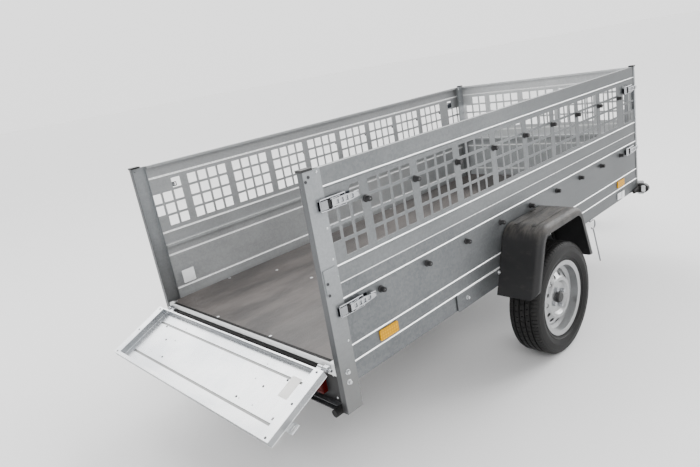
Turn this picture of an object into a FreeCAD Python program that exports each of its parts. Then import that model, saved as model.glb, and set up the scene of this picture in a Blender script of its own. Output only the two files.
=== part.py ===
import FreeCAD, Part

import math
import os
import re

import Sketcher
from FreeCAD import Placement, Rotation, Vector

# A single-axle utility trailer: galvanised beaded side panels, a mesh
# extension above them, a drop tailgate at the rear, a V drawbar with a ball
# coupling and a jockey wheel that carries the nose when it is parked.
# Millimetres. +X points to the coupling, +Y to the left, +Z up. The floor the
# trailer stands on is z = 0, and the origin is midway between its two ends.
# Inside this file a place along the trailer is counted from the rear face of
# the box, and "rear_face" carries that count to the origin.

doc = FreeCAD.newDocument("utility_trailer")
sheet = doc.addObject("Spreadsheet::Sheet", "Sizes")

# name, value, what it is
SIZES = [
    # box
    ("box_length", 2700, "outside length of the box"),
    ("box_width", 1300, "outside width over the posts"),
    ("wall", 25, "depth of a folded side panel"),
    ("skin", 2, "thickness of the panel sheet"),
    ("panel_foot", 431, "lower edge of the side panels"),
    ("seam", 801, "joint between the lower panels and the mesh extension"),
    ("box_top", 1205, "top edge of the mesh extension"),
    ("flange_lip", 12, "turned-down edge of a panel flange"),
    ("bead_wide", 10, "width of a pressed bead"),
    ("bead_proud", 3, "how far a bead stands out"),
    ("bead_low", 502, "height of the lowest bead"),
    ("bead_middle", 565, "height of the middle bead"),
    ("bead_high", 744, "height of the highest bead of the lower panel"),
    ("bead_under_mesh", 863, "height of the bead below the mesh"),
    ("bead_over_mesh", 1140, "height of the bead above the mesh"),
    # mesh
    ("mesh_hole", 48.5, "side of a square hole"),
    ("mesh_pitch", 60.5, "hole to hole inside a group"),
    ("group_pitch", 272.2, "group to group, with a wide bar between"),
    ("mesh_middle", 1002, "height of the middle of the hole field"),
    # posts
    ("post_wide", 76, "rear post, seen from the side"),
    ("post_skin", 2.5, "thickness of the post sheet"),
    ("post_foot", 328, "lower end of the rear posts"),
    ("corner_wide", 20, "front corner post, seen from the side"),
    ("inner_post_deep", 53, "inner corner post at the front, seen from the side"),
    ("inner_post_wide", 14, "how far it stands in from the panel flanges"),
    ("post_hole", 2.5, "radius of a hole near the top of a rear post"),
    ("cap_long", 46, "plastic cap on a rear post"),
    ("cap_over", 3, "how far a cap reaches past its post"),
    ("cap_high", 8, "height of a cap"),
    ("splice_high", 95, "plate that joins the upper rear post to the lower"),
    ("splice_thick", 3, "thickness of the splice plate"),
    # floor and chassis
    ("floor_top", 516, "top of the plywood floor"),
    ("floor_thick", 12, "plywood"),
    ("floor_relief", 0.5, "step in the plywood under the sill's flange"),
    ("floor_gap", 1.5, "plywood to the inner corner posts"),
    ("rail_wide", 40, "flange of a chassis rail"),
    ("rail_skin", 2.5, "thickness of rails and cross members"),
    ("cross_wide", 40, "width of a cross member"),
    ("sill_back", 6, "rear face of the sill, forward of the posts"),
    ("sill_deep", 20, "top flange of the sill, over the floor edge"),
    ("sill_high", 48, "rear face of the sill"),
    ("sill_return", 24, "lower flange of the sill"),
    ("sill_round", 6, "rounded upper edge of the sill"),
    # axle and wheels
    ("axle_place", 1287, "wheel centres, forward of the rear face"),
    ("wheel_gap", 24, "side of the box to the tyre"),
    ("tyre_radius", 273.5, "outside radius of the tyre"),
    ("tyre_wide", 157, "section width of the tyre"),
    ("rim_radius", 182.6, "radius of the rim flange"),
    ("rim_wide", 128, "overall width of the rim"),
    ("seat_radius", 165, "bead seat of the rim"),
    ("well_radius", 145, "drop centre of the rim"),
    ("rim_skin", 4, "thickness of the rim"),
    ("groove_wide", 7, "width of a groove round the tread"),
    ("groove_deep", 6.5, "depth of a groove round the tread"),
    ("groove_pitch", 27, "groove to groove across the tread"),
    ("disc_offset", 30, "mounting face outboard of the wheel's middle"),
    ("hub_bore", 28, "radius of the centre hole in the rim"),
    ("vent_circle", 116, "radius of the circle of ventilation holes"),
    ("vent_radius", 11.5, "radius of a ventilation hole"),
    ("vents", 14, "how many ventilation holes"),
    ("hub_radius", 38, "barrel of the hub"),
    ("hub_flange", 66, "radius of the hub flange"),
    ("hub_inner", 112, "inner end of the hub, inboard of the wheel's middle"),
    ("stub_radius", 15, "radius of the stub axle"),
    ("running_gap", 0.3, "clearance of a turning fit"),
    ("axle_tube", 60, "side of the square axle tube"),
    ("arm_gap", 7.5, "inner end of the hub to the trailing arm"),
    ("arm_reach", 150, "axle tube forward of the wheel centre"),
    ("arm_rise", 75, "axle tube above the wheel centre"),
    ("arm_thick", 33, "thickness of a trailing arm"),
    # fenders
    ("fender_foot", 385, "lower ends of a fender"),
    ("fender_top", 685, "flat top of a fender"),
    ("fender_half", 305, "half length at the foot"),
    ("fender_shoulder", 196, "half length at the sharp upper corner"),
    ("fender_round", 90, "radius of the upper corners"),
    ("fender_over", 14, "how far a fender reaches past the tyre"),
    ("fender_skin", 4, "thickness of the moulding"),
    ("fender_lip", 40, "outer flange of a fender"),
    ("fender_edge", 26, "rounded outer edge of a fender"),
    ("fender_corner", 38, "rounded lower outer corners of a fender"),
    ("rib_high", 2, "height of a rib on top of a fender"),
    ("rib_rear", 157, "rear end of the ribs, behind the wheel centre"),
    ("rib_front", 113, "front end of the ribs, ahead of the wheel centre"),
    ("side_plate_half", 600, "half length of the fender mounting plate"),
    ("side_plate_foot", 425, "lower edge of that plate"),
    ("side_plate_high", 80, "height of that plate"),
    ("side_plate_thick", 3, "thickness of that plate"),
    ("side_plate_round", 12, "corners of that plate"),
    # tailgate
    ("hinge_back", 8, "tailgate pin behind the rear face"),
    ("hinge_height", 498, "height of the tailgate pin"),
    ("gate_length", 296, "height of the tailgate when shut"),
    ("gate_side", 5, "gap beside the shut tailgate"),
    ("gate_thick", 30, "depth of the tailgate tray"),
    ("gate_skin", 2, "thickness of the tailgate sheet"),
    ("gate_end", 45, "width of the folded ends of the tray"),
    ("gate_lip", 15, "lip along the far edge of the tray"),
    ("gate_hem", 6, "lip along the hinge edge of the tray"),
    ("gate_groove", 60, "edge of the tray to a groove"),
    ("gate_hole", 3, "radius of a hole in the tailgate sheet"),
    ("catch_long", 38, "height of a catch plate"),
    ("catch_reach", 33, "how far a catch plate reaches past the tray"),
    ("gate_below", 26.8, "hinge pin to the tailgate's lower edge"),
    ("gate_behind", 6.5, "hinge pin to the tailgate's outer face"),
    ("gate_droop", 23.2, "how far below level the open tailgate rests"),
    ("pin_radius", 5, "tailgate hinge pin"),
    ("knuckle_radius", 9, "outside of a hinge knuckle"),
    ("knuckle_wide", 26, "width of a hinge knuckle"),
    ("lug_wide", 22, "width of a hinge lug"),
    # drawbar
    ("bar_wide", 40, "width of a drawbar tube"),
    ("bar_high", 60, "height of a drawbar tube"),
    ("bar_skin", 3, "wall of a drawbar tube"),
    ("bar_start", 1540, "rear end of the drawbar tubes"),
    ("bar_inset", 30, "their middle inboard of the rails at the rear end"),
    ("bar_end", 3520, "front end of the drawbar tubes"),
    ("bar_end_half", 32, "their half spread at the front end"),
    ("ball_place", 3650, "centre of the towing ball"),
    ("ball_height", 424, "height of the towing ball's centre"),
    ("ball_radius", 25, "radius of the towing ball"),
    ("cup_skin", 6, "wall of the coupling's ball cup"),
    ("jockey_place", 3200, "jockey wheel tube"),
    ("jockey_radius", 24, "outer tube of the jockey wheel"),
    ("jockey_tube", 400, "length of that tube"),
    ("screw_radius", 14, "screw inside that tube"),
    ("jockey_plate", 120, "length of the plate that carries its clamp"),
    ("plate_thick", 8, "thickness of that plate"),
    ("collar_high", 70, "height of the clamp's collar"),
    ("jockey_wheel_radius", 100, "jockey wheel"),
    ("jockey_wheel_wide", 60, "width of the jockey wheel"),
    ("jockey_trail", 45, "how far the wheel trails its tube"),
    # rear lights
    ("rear_bar_foot", 322, "underside of the bar below the lights"),
    ("rear_bar_high", 26, "height of that bar"),
    ("rear_bar_deep", 26, "depth of that bar"),
    ("rear_bar_skin", 3, "thickness of that bar"),
    ("light_board_place", 22, "rear face of the light board"),
    ("light_board_thick", 6, "thickness of the light board"),
    ("lamp_inset", 120, "outer end of a tail lamp, in from the side of the box"),
    ("lamp_wide", 200, "width of a tail lamp"),
    ("lamp_high", 90, "height of a tail lamp"),
    ("lamp_deep", 20, "depth of a tail lamp"),
    ("lamp_above", 22, "light board's lower edge to a tail lamp"),
    ("lamp_round", 8, "corners of a lamp or reflector"),
    ("buffer_radius", 15, "round buffer at the foot of a rear post"),
    ("buffer_length", 80, "length of the buffer"),
    ("buffer_back", 28, "how far it reaches behind the rear face"),
    ("marker_out", 61, "side of the box to the tip of a front marker lamp"),
    ("marker_long", 111, "length of a front marker lamp"),
    ("marker_high", 57, "height of a front marker lamp"),
    ("marker_foot", 402, "lower edge of a front marker lamp"),
    ("marker_deep", 26, "depth of a front marker lamp"),
    ("marker_plate", 3, "thickness of the plate behind it"),
    ("reflector_rear", 216, "rear side reflector"),
    ("reflector_front", 2379, "front side reflector"),
    ("reflector_long", 100, "length of a side reflector"),
    ("reflector_high", 40, "height of a side reflector"),
    ("latch_rear", 36, "rear end of the rear latches"),
    ("latch_front", 200, "rear end of the front latches, from the front of the box"),
    ("latch_high", 1083, "height of the upper latches"),
    ("latch_low", 709, "height of the lower latches"),
    ("wire_radius", 2.5, "wire of a latch bail"),
    ("knob_high", 1051, "height of the upper rope knobs"),
    ("knob_low", 708, "height of the lower rope knobs"),
    ("knob_radius", 15, "head of a rope knob"),
    ("knob_proud", 26, "how far a rope knob stands out"),
    ("hook_place", 1990, "hook under the right rail"),
    ("hook_wire", 4, "rod that the hook is bent from"),
    ("hook_bend", 26, "bend of the hook"),
]

# name, formula, what it is
DERIVED = [
    ("half_width", "box_width / 2", "outer face of the posts"),
    ("panel_face", "half_width - bead_proud", "outer face of a side panel's sheet"),
    ("inner_face", "half_width - wall", "inner edge of the panel flanges"),
    ("floor_foot", "floor_top - floor_thick", "underside of the floor"),
    ("sill_top", "floor_top + skin", "top of the sill"),
    ("rail_foot", "panel_foot", "underside of the chassis rails"),
    ("nose", "ball_place + ball_radius + cup_skin + 6", "front end of the coupling"),
    ("gate_tip", "gate_below + gate_length", "hinge pin to the tailgate's far edge"),
    ("gate_face", "gate_behind + gate_thick", "hinge pin to the tailgate's inner face"),
    ("tail", "hinge_back + gate_tip * cos(gate_droop) + gate_face * sin(gate_droop)",
     "rearmost reach of the open tailgate"),
    ("rear_face", "(tail - nose) / 2", "rear face of the box, from the origin"),
    ("rim_half", "rim_wide / 2", "half width of the rim"),
    ("track", "box_width + 2 * wheel_gap + tyre_wide", "wheel centre to wheel centre across"),
    ("axle_half", "track / 2 - hub_inner - arm_gap - arm_thick", "half length of the axle tube"),
    ("fender_inner", "half_width + side_plate_thick", "inner face of a fender"),
    ("fender_wide", "(track + tyre_wide) / 2 + fender_over - fender_inner", "width of a fender"),
    ("gate_half", "inner_face - gate_side", "half width of the tailgate"),
    ("bar_start_half", "inner_face - rail_wide - bar_inset",
     "half spread of the drawbar's rear end"),
    ("plate_half", "bar_end_half + bar_wide / 2 + (bar_start_half - bar_end_half)"
     " * (bar_end - jockey_place) / (bar_end - bar_start)", "half width of the clamp's plate"),
    ("lamp_outer", "half_width - lamp_inset", "outer end of a tail lamp"),
    ("marker_tip", "half_width + marker_out", "tip of a front marker lamp"),
]

row = 0
for name, value, note in SIZES + DERIVED:
    row += 1
    sheet.set("A%d" % row, note)
    sheet.setAlias("B%d" % row, name)
    sheet.set("B%d" % row, "=" + value if isinstance(value, str) else str(value))
doc.recompute()
ALIASES = {name for name, value, note in SIZES + DERIVED}
PARTS = []
AXIS_X = Vector(1, 0, 0)
AXIS_Y = Vector(0, 1, 0)
AXIS_Z = Vector(0, 0, 1)


def tied(formula):
    """A formula in which every name of the sheet points at its cell."""
    return re.sub(r"[a-z][a-z_]*", lambda word: "Sizes." + word.group()
                  if word.group() in ALIASES else word.group(), str(formula))


def size(name):
    """The number in a cell, for the few shapes that are made in code."""
    return float(sheet.get(name))


def number(formula):
    """What a formula comes to, to draw a sketch before its constraints hold it."""
    return float(sheet.evalExpression(tied(formula)))


def place(item, x="0", y="0", z="0", axis=None, angle="0", start="rear_face"):
    """Puts an item at a point counted from the rear face, the middle and the floor,
    or from the item's own zero where the start is "0"."""
    if axis is not None:
        item.Placement = Placement(Vector(), Rotation(axis, 1))
        item.setExpression("Placement.Rotation.Angle", tied(angle))
    item.setExpression("Placement.Base.x", tied("%s + %s" % (start, x)))
    item.setExpression("Placement.Base.y", tied(y))
    item.setExpression("Placement.Base.z", tied(z))
    return item


def keep(item, label):
    """Names a finished sub-part, which is written to a file of that name."""
    item.Label = label
    PARTS.append(item)
    return item


def box(size_x, size_y, size_z, x, y, z, start="rear_face"):
    """A block with its lowest corner at x, y, z."""
    item = doc.addObject("Part::Box", "Block")
    item.setExpression("Length", tied(size_x))
    item.setExpression("Width", tied(size_y))
    item.setExpression("Height", tied(size_z))
    return place(item, x, y, z, start=start)


def rod(radius, length, x, y, z, axis=AXIS_Z, angle="0", start="rear_face"):
    """A round bar that starts at x, y, z; it stands up unless it is turned."""
    item = doc.addObject("Part::Cylinder", "Rod")
    item.setExpression("Radius", tied(radius))
    item.setExpression("Height", tied(length))
    return place(item, x, y, z, axis, angle, start)


def joined(*items):
    """Several solids of one sub-part, fused where they touch."""
    item = doc.addObject("Part::MultiFuse", "Joined")
    item.Shapes = list(items)
    item.Refine = False
    return item


def cut(base, *tools):
    """A solid less its tools."""
    item = doc.addObject("Part::Cut", "Cut")
    item.Base = base
    item.Tool = tools[0] if len(tools) == 1 else joined(*tools)
    return item


def mirrored(item):
    """The same piece on the other side of the trailer."""
    twin = doc.addObject("Part::Mirroring", "Mirrored")
    twin.Source = item
    twin.Base = Vector(0, 0, 0)
    twin.Normal = AXIS_Y
    return twin


def copy_at(item, x, y, z, axis=None, angle="0"):
    """One more of a piece that is drawn about its own zero."""
    twin = doc.addObject("Part::Compound", "Copy")
    twin.Links = [item]
    return place(twin, x, y, z, axis, angle)


def sheet_plate(left, foot, right, head, radius, thick):
    """A plate with rounded corners that stands on the XZ plane and grows outwards."""
    body = new_body("Plate")
    drawn = new_sketch(body, "XZ_Plane")
    rounded(drawn, left, foot, right, head, radius)
    pad(body, drawn, thick, reversed_=True)
    return body


def pair(item):
    """The left piece and the right one, as one sub-part."""
    return joined(item, mirrored(item))


def new_body(name):
    return doc.addObject("PartDesign::Body", name)


def new_sketch(body, plane, offset=None):
    """A sketch on one of the body's own origin planes, moved along its normal."""
    item = body.newObject("Sketcher::SketchObject", "Sketch")
    planes = [part for part in body.Origin.OriginFeatures if part.Role == plane]
    item.AttachmentSupport = [(planes[0], "")]
    item.MapMode = "FlatFace"
    if offset is not None:
        item.setExpression("AttachmentOffset.Base.z", tied(offset))
    return item


def hold(sketch, rules, bound):
    """Adds constraints in one go and ties their values to formulas."""
    first = sketch.ConstraintCount
    sketch.addConstraint(rules)
    for index, formula in bound:
        sketch.setExpression("Constraints[%d]" % (first + index), tied(formula))


def pin_down(rules, bound, edge, end, x, y):
    """Holds one end of a line or arc at a place given by two formulas."""
    for kind, formula in (("DistanceX", x), ("DistanceY", y)):
        bound.append((len(rules), formula))
        rules.append(Sketcher.Constraint(kind, -1, 1, edge, end, number(formula)))


def arc_through(start, middle, end):
    """An arc through three points, drawn anticlockwise as sketches keep them, and
    which of its two ends is the start."""
    found = Part.Arc(start, middle, end).toShape().Curve
    centre, radius = found.Center, found.Radius
    turn = (middle - start).cross(end - middle).z
    first, last = (start, end) if turn > 0 else (end, start)
    low = math.atan2(first.y - centre.y, first.x - centre.x)
    high = math.atan2(last.y - centre.y, last.x - centre.x)
    if high < low:
        high += 2 * math.pi
    arc = Part.ArcOfCircle(Part.Circle(centre, AXIS_Z, radius), low, high)
    return arc, (1, 2) if turn > 0 else (2, 1)


def outline(sketch, points):
    """A closed outline. A point is (x, y), reached by a straight line, or
    (x, y, bulge_x, bulge_y), reached by an arc that passes the bulge."""
    places = [Vector(number(p[0]), number(p[1]), 0) for p in points]
    first = sketch.GeometryCount
    edges, ends, rules, bound = [], [], [], []
    for index, point in enumerate(points):
        if len(point) == 2:
            edge, reached = Part.LineSegment(places[index - 1], places[index]), (1, 2)
        else:
            middle = Vector(number(point[2]), number(point[3]), 0)
            edge, reached = arc_through(places[index - 1], middle, places[index])
        edges.append(edge)
        ends.append(reached)
    sketch.addGeometry(edges)
    for index, point in enumerate(points):
        after = (index + 1) % len(points)
        rules.append(Sketcher.Constraint(
            "Coincident", first + index, ends[index][1], first + after, ends[after][0]))
        pin_down(rules, bound, first + index, ends[index][1], point[0], point[1])
    hold(sketch, rules, bound)


def rounded(sketch, left, foot, right, head, radius):
    """A rectangle with rounded corners."""
    bulge = "(%s) * (1 - sin(45))" % radius
    outline(sketch, [
        ("(%s) - %s" % (right, radius), foot),
        (right, "(%s) + %s" % (foot, radius), "(%s) - %s" % (right, bulge), "(%s) + %s" % (foot, bulge)),
        (right, "(%s) - %s" % (head, radius)),
        ("(%s) - %s" % (right, radius), head, "(%s) - %s" % (right, bulge), "(%s) - %s" % (head, bulge)),
        ("(%s) + %s" % (left, radius), head),
        (left, "(%s) - %s" % (head, radius), "(%s) + %s" % (left, bulge), "(%s) - %s" % (head, bulge)),
        (left, "(%s) + %s" % (foot, radius)),
        ("(%s) + %s" % (left, radius), foot, "(%s) + %s" % (left, bulge), "(%s) + %s" % (foot, bulge))])


def circle(sketch, radius, x="0", y="0"):
    """A full circle, held by its centre and radius."""
    index = sketch.addGeometry(Part.Circle(Vector(number(x), number(y), 0), AXIS_Z, number(radius)))
    rules, bound = [], []
    pin_down(rules, bound, index, 3, x, y)
    bound.append((len(rules), radius))
    rules.append(Sketcher.Constraint("Radius", index, number(radius)))
    hold(sketch, rules, bound)


def pad(body, sketch, length, midplane=False, reversed_=False):
    item = body.newObject("PartDesign::Pad", "Pad")
    item.Profile = sketch
    item.setExpression("Length", tied(length))
    item.Midplane = midplane
    item.Reversed = reversed_
    return item


def pocket(body, sketch, length, midplane=False, reversed_=False):
    item = body.newObject("PartDesign::Pocket", "Pocket")
    item.Profile = sketch
    item.setExpression("Length", tied(length))
    item.Midplane = midplane
    item.Reversed = reversed_
    return item


def revolve(body, sketch, axis="H_Axis", kind="Revolution"):
    item = body.newObject("PartDesign::" + kind, kind)
    item.Profile = sketch
    item.ReferenceAxis = (sketch, [axis])
    item.Angle = 360
    return item


def grid(body, feature, rows):
    """Repeats a feature in rows of rows: each row is an axis, a count and a length."""
    item = body.newObject("PartDesign::MultiTransform", "Grid")
    item.Originals = [feature]
    steps = []
    for axis, count, length in rows:
        step = body.newObject("PartDesign::LinearPattern", "Row")
        axes = [part for part in body.Origin.OriginFeatures if part.Role == axis]
        step.Direction = (axes[0], [""])
        step.Occurrences = count
        step.setExpression("Length", tied(length))
        steps.append(step)
    item.Transformations = steps
    body.Tip = item
    return item


def ring(body, feature, axis, count):
    """Repeats a feature round a body axis."""
    item = body.newObject("PartDesign::PolarPattern", "Ring")
    item.Originals = [feature]
    axes = [part for part in body.Origin.OriginFeatures if part.Role == axis]
    item.Axis = (axes[0], [""])
    item.Angle = 360
    item.setExpression("Occurrences", tied(count))
    body.Tip = item
    return item


# ---------------------------------------------------------------- side panels
def panel_section(foot, top, beads):
    """Section of a folded panel, x from its back to its face: a flange and a lip
    at each edge and a pressed bead at each height in the list."""
    face = "wall - bead_proud"
    outer = [("0", foot), (face, foot)]
    inner = []
    for bead in beads:
        low, high = bead + " - bead_wide / 2", bead + " + bead_wide / 2"
        rise, fall = bead + " - bead_wide / 4", bead + " + bead_wide / 4"
        outer += [(face, low), ("wall", rise), ("wall", fall), (face, high)]
        inner += [(face + " - skin", low), ("wall - skin", rise),
                  ("wall - skin", fall), (face + " - skin", high)]
    outer += [(face, top), ("0", top), ("0", top + " - flange_lip")]
    back = [("skin", top + " - flange_lip"), ("skin", top + " - skin"),
            (face + " - skin", top + " - skin")]
    back += reversed(inner)
    back += [(face + " - skin", foot + " + skin"), ("0", foot + " + skin")]
    return outer + back


def panel_body(foot, top, beads, length):
    """A folded panel: local y is its depth, from back to face, and x its length."""
    body = new_body("Panel")
    section = new_sketch(body, "YZ_Plane")
    outline(section, panel_section(foot, top, beads))
    pad(body, section, length)
    return body


def square(sketch, side, x, y):
    """A square hole centred on x, y."""
    half = side + " / 2"
    outline(sketch, [("%s - %s" % (x, half), "%s - %s" % (y, half)),
                     ("%s + %s" % (x, half), "%s - %s" % (y, half)),
                     ("%s + %s" % (x, half), "%s + %s" % (y, half)),
                     ("%s - %s" % (x, half), "%s + %s" % (y, half))])


def mesh_body(length, first_bar, groups, part_rows):
    """A mesh extension panel: whole groups of four by four square holes between
    wide bars, and at each end a part group, which leaves room for what sits there.
    For each column of it, from the wide bar outwards: its lowest row and its rows."""
    body = panel_body("seam", "box_top", ["bead_under_mesh", "bead_over_mesh"], length)
    for column, (low_row, rows) in enumerate(part_rows, 1):
        reach = "(group_pitch / 2 - (2.5 - %d) * mesh_pitch)" % column
        drawn = new_sketch(body, "XZ_Plane")
        square(drawn, "mesh_hole", "%s - %s" % (first_bar, reach),
               "mesh_middle + (%d - 1.5) * mesh_pitch" % low_row)
        hole = pocket(body, drawn, "wall * 4", midplane=True)
        grid(body, hole, [("Z_Axis", rows, "%d * mesh_pitch" % (rows - 1)),
                          ("X_Axis", 2, "%s - 2 * (%s - %s)" % (length, first_bar, reach))])
    # the whole groups
    whole = new_sketch(body, "XZ_Plane")
    first = "%s + group_pitch / 2 - 1.5 * mesh_pitch" % first_bar
    square(whole, "mesh_hole", first, "mesh_middle - 1.5 * mesh_pitch")
    hole = pocket(body, whole, "wall * 4", midplane=True)
    grid(body, hole, [("X_Axis", 4, "3 * mesh_pitch"),
                      ("Z_Axis", 4, "3 * mesh_pitch"),
                      ("X_Axis", groups, "%d * group_pitch" % (groups - 1))])
    return body


side_start = "post_wide"
side_length = "box_length - post_wide - corner_wide"
lower_beads = ["bead_low", "bead_middle", "bead_high"]

side_panel = panel_body("panel_foot", "seam", lower_beads, side_length)
place(side_panel, side_start, "inner_face")
keep(side_panel, "side_panel_left")
keep(mirrored(side_panel), "side_panel_right")

# the wide bars sit the same way from the middle of the box as the groups do
side_mesh = mesh_body(side_length, "box_length / 2 - 4 * group_pitch - post_wide", 8,
                      [(0, 4), (0, 3), (1, 2)])
place(side_mesh, side_start, "inner_face")
keep(side_mesh, "mesh_panel_left")
keep(mirrored(side_mesh), "mesh_panel_right")

# the front panels are the same sections turned to face forward
front_length = "2 * inner_face"
front_panel = panel_body("panel_foot", "seam", lower_beads, front_length)
place(front_panel, "box_length - wall", "inner_face", "0", AXIS_Z, "-90")
keep(front_panel, "front_panel")
front_mesh = mesh_body(front_length, "inner_face - 1.5 * group_pitch", 3, [(0, 4), (0, 4), (1, 2)])
place(front_mesh, "box_length - wall", "inner_face", "0", AXIS_Z, "-90")
keep(front_mesh, "mesh_panel_front")


# ---------------------------------------------------------------- corner posts
def post_body(section, foot, top):
    """A corner post: a folded section that stands from foot to top."""
    body = new_body("Post")
    drawn = new_sketch(body, "XY_Plane", foot)
    outline(drawn, section)
    pad(body, drawn, "%s - %s" % (top, foot))
    return place(body)


# a channel with its web outside, its rear flange shut and its front flange short
rear_section = [
    ("0", "inner_face"), ("0", "half_width"), ("post_wide", "half_width"),
    ("post_wide", "half_width - flange_lip"),
    ("post_wide - post_skin", "half_width - flange_lip"),
    ("post_wide - post_skin", "half_width - post_skin"),
    ("post_skin", "half_width - post_skin"), ("post_skin", "inner_face")]
keep(pair(post_body(rear_section, "post_foot", "seam")), "rear_posts")
rear_mesh_post = post_body(rear_section, "seam", "box_top")
holes = new_sketch(rear_mesh_post, "XZ_Plane", "-half_width")
circle(holes, "post_hole", "24", "box_top - 18")
circle(holes, "post_hole", "12", "box_top - 32")
pocket(rear_mesh_post, holes, "post_skin + 1", reversed_=True)
flange_hole = new_sketch(rear_mesh_post, "YZ_Plane")
circle(flange_hole, "post_hole", "inner_face + 10", "box_top - 54")
pocket(rear_mesh_post, flange_hole, "2 * post_skin + 1", midplane=True)
keep(pair(rear_mesh_post), "rear_mesh_posts")

# an angle round the front corner, open to the inside
front_section = [
    ("box_length", "inner_face"), ("box_length", "half_width"),
    ("box_length - corner_wide", "half_width"),
    ("box_length - corner_wide", "half_width - post_skin"),
    ("box_length - post_skin", "half_width - post_skin"),
    ("box_length - post_skin", "inner_face")]
# and one inside it, which stands on the chassis rail and carries both panels
inner_corner = "inner_face - inner_post_wide"
inner_start = "box_length - wall - inner_post_deep"
inner_section = [
    (inner_start, "inner_face"), (inner_start, inner_corner),
    ("box_length - wall", inner_corner), ("box_length - wall", inner_corner + " + post_skin"),
    (inner_start + " + post_skin", inner_corner + " + post_skin"),
    (inner_start + " + post_skin", "inner_face")]
keep(pair(joined(post_body(front_section, "panel_foot", "seam"),
                 post_body(inner_section, "floor_foot", "seam"))), "front_posts")
keep(pair(joined(post_body(front_section, "seam", "box_top"),
                 post_body(inner_section, "seam", "box_top"))), "front_mesh_posts")

# plastic caps
cap_wide = "wall + 2 * cap_over"
keep(pair(joined(
    box("cap_long", cap_wide, "cap_high", "-cap_over", "inner_face - cap_over", "box_top"),
    box(cap_wide, cap_wide, "cap_high", "box_length - wall - cap_over", "inner_face - cap_over",
        "box_top"))), "post_caps")
keep(pair(place(sheet_plate("8", "seam - splice_high / 4", "post_wide - 8", "seam + splice_high * 3 / 4",
                      "4", "splice_thick"), "0", "half_width")), "splice_plates")

# ---------------------------------------------------------------- floor and chassis
board = box("box_length - wall - sill_back - sill_round", "2 * inner_face", "floor_thick",
            "sill_back + sill_round", "-inner_face", "floor_foot")
relief = box("sill_deep", "2 * box_width", "floor_relief + 1", "sill_back", "-box_width",
             "floor_top - floor_relief")
notch = box("inner_post_deep + floor_gap + 1", "wall", "floor_thick + 2",
            inner_start + " - floor_gap", inner_corner + " - floor_gap", "floor_foot - 1")
keep(cut(board, relief, notch, mirrored(notch)), "floor_board")

# the rear sill: an angle over the floor edge with a rounded nose and a return below
sill = new_body("Sill")
sill_drawn = new_sketch(sill, "XZ_Plane")
sill_slant = "sill_round * (1 - sin(45))"
sill_inset = "skin + (sill_round - skin) * (1 - sin(45))"
outline(sill_drawn, [
    ("0", "sill_top - sill_high"), ("0", "sill_top - sill_round"),
    ("sill_round", "sill_top", sill_slant, "sill_top - (%s)" % sill_slant),
    ("sill_deep", "sill_top"), ("sill_deep", "sill_top - skin"),
    ("sill_round", "sill_top - skin"),
    ("skin", "sill_top - sill_round", sill_inset, "sill_top - (%s)" % sill_inset),
    ("skin", "sill_top - sill_high + skin"),
    ("sill_return", "sill_top - sill_high + skin"),
    ("sill_return", "sill_top - sill_high")])
pad(sill, sill_drawn, "2 * inner_face", midplane=True)
keep(place(sill, "sill_back"), "rear_sill")

# a chassis rail: a channel on each side under the floor, open to the middle
rail = new_body("Rail")
rail_drawn = new_sketch(rail, "YZ_Plane")
rail_inner = "inner_face - rail_wide"
outline(rail_drawn, [
    (rail_inner, "rail_foot"), ("inner_face", "rail_foot"), ("inner_face", "floor_foot"),
    (rail_inner, "floor_foot"), (rail_inner, "floor_foot - rail_skin"),
    ("inner_face - rail_skin", "floor_foot - rail_skin"),
    ("inner_face - rail_skin", "rail_foot + rail_skin"), (rail_inner, "rail_foot + rail_skin")])
pad(rail, rail_drawn, "box_length - wall - sill_back - sill_return")
place(rail, "sill_back + sill_return")
keep(rail, "rail_left")
keep(mirrored(rail), "rail_right")


def cross_member(x):
    """A channel between the rails, open to the front."""
    body = new_body("Cross")
    drawn = new_sketch(body, "XZ_Plane")
    outline(drawn, [
        ("0", "rail_foot"), ("cross_wide", "rail_foot"), ("cross_wide", "rail_foot + rail_skin"),
        ("rail_skin", "rail_foot + rail_skin"), ("rail_skin", "floor_foot - rail_skin"),
        ("cross_wide", "floor_foot - rail_skin"), ("cross_wide", "floor_foot"),
        ("0", "floor_foot")])
    pad(body, drawn, "2 * (%s)" % rail_inner, midplane=True)
    return place(body, x)


cross_places = ["box_length * 0.12", "axle_place - 300", "bar_start", "box_length * 0.78",
                "box_length - wall - cross_wide"]
keep(joined(*[cross_member(x) for x in cross_places]), "cross_members")

# ---------------------------------------------------------------- axle
tube_x = "axle_place + arm_reach"
tube_z = "tyre_radius + arm_rise"
tube_low = "%s - axle_tube / 2" % tube_z
keep(box("axle_tube", "2 * axle_half", "axle_tube", "%s - axle_tube / 2" % tube_x,
         "-axle_half", tube_low), "axle_tube")
seat_z = "%s + axle_tube / 2" % tube_z
keep(pair(joined(
    box("axle_tube * 2", "rail_wide", "8", "%s - axle_tube" % tube_x, "inner_face - rail_wide",
        "rail_foot - 8"),
    box("axle_tube * 1.6", "8", "rail_foot - 8 - (%s)" % seat_z, "%s - axle_tube * 0.8" % tube_x,
        "axle_half - 14", seat_z))), "axle_brackets")


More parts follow.
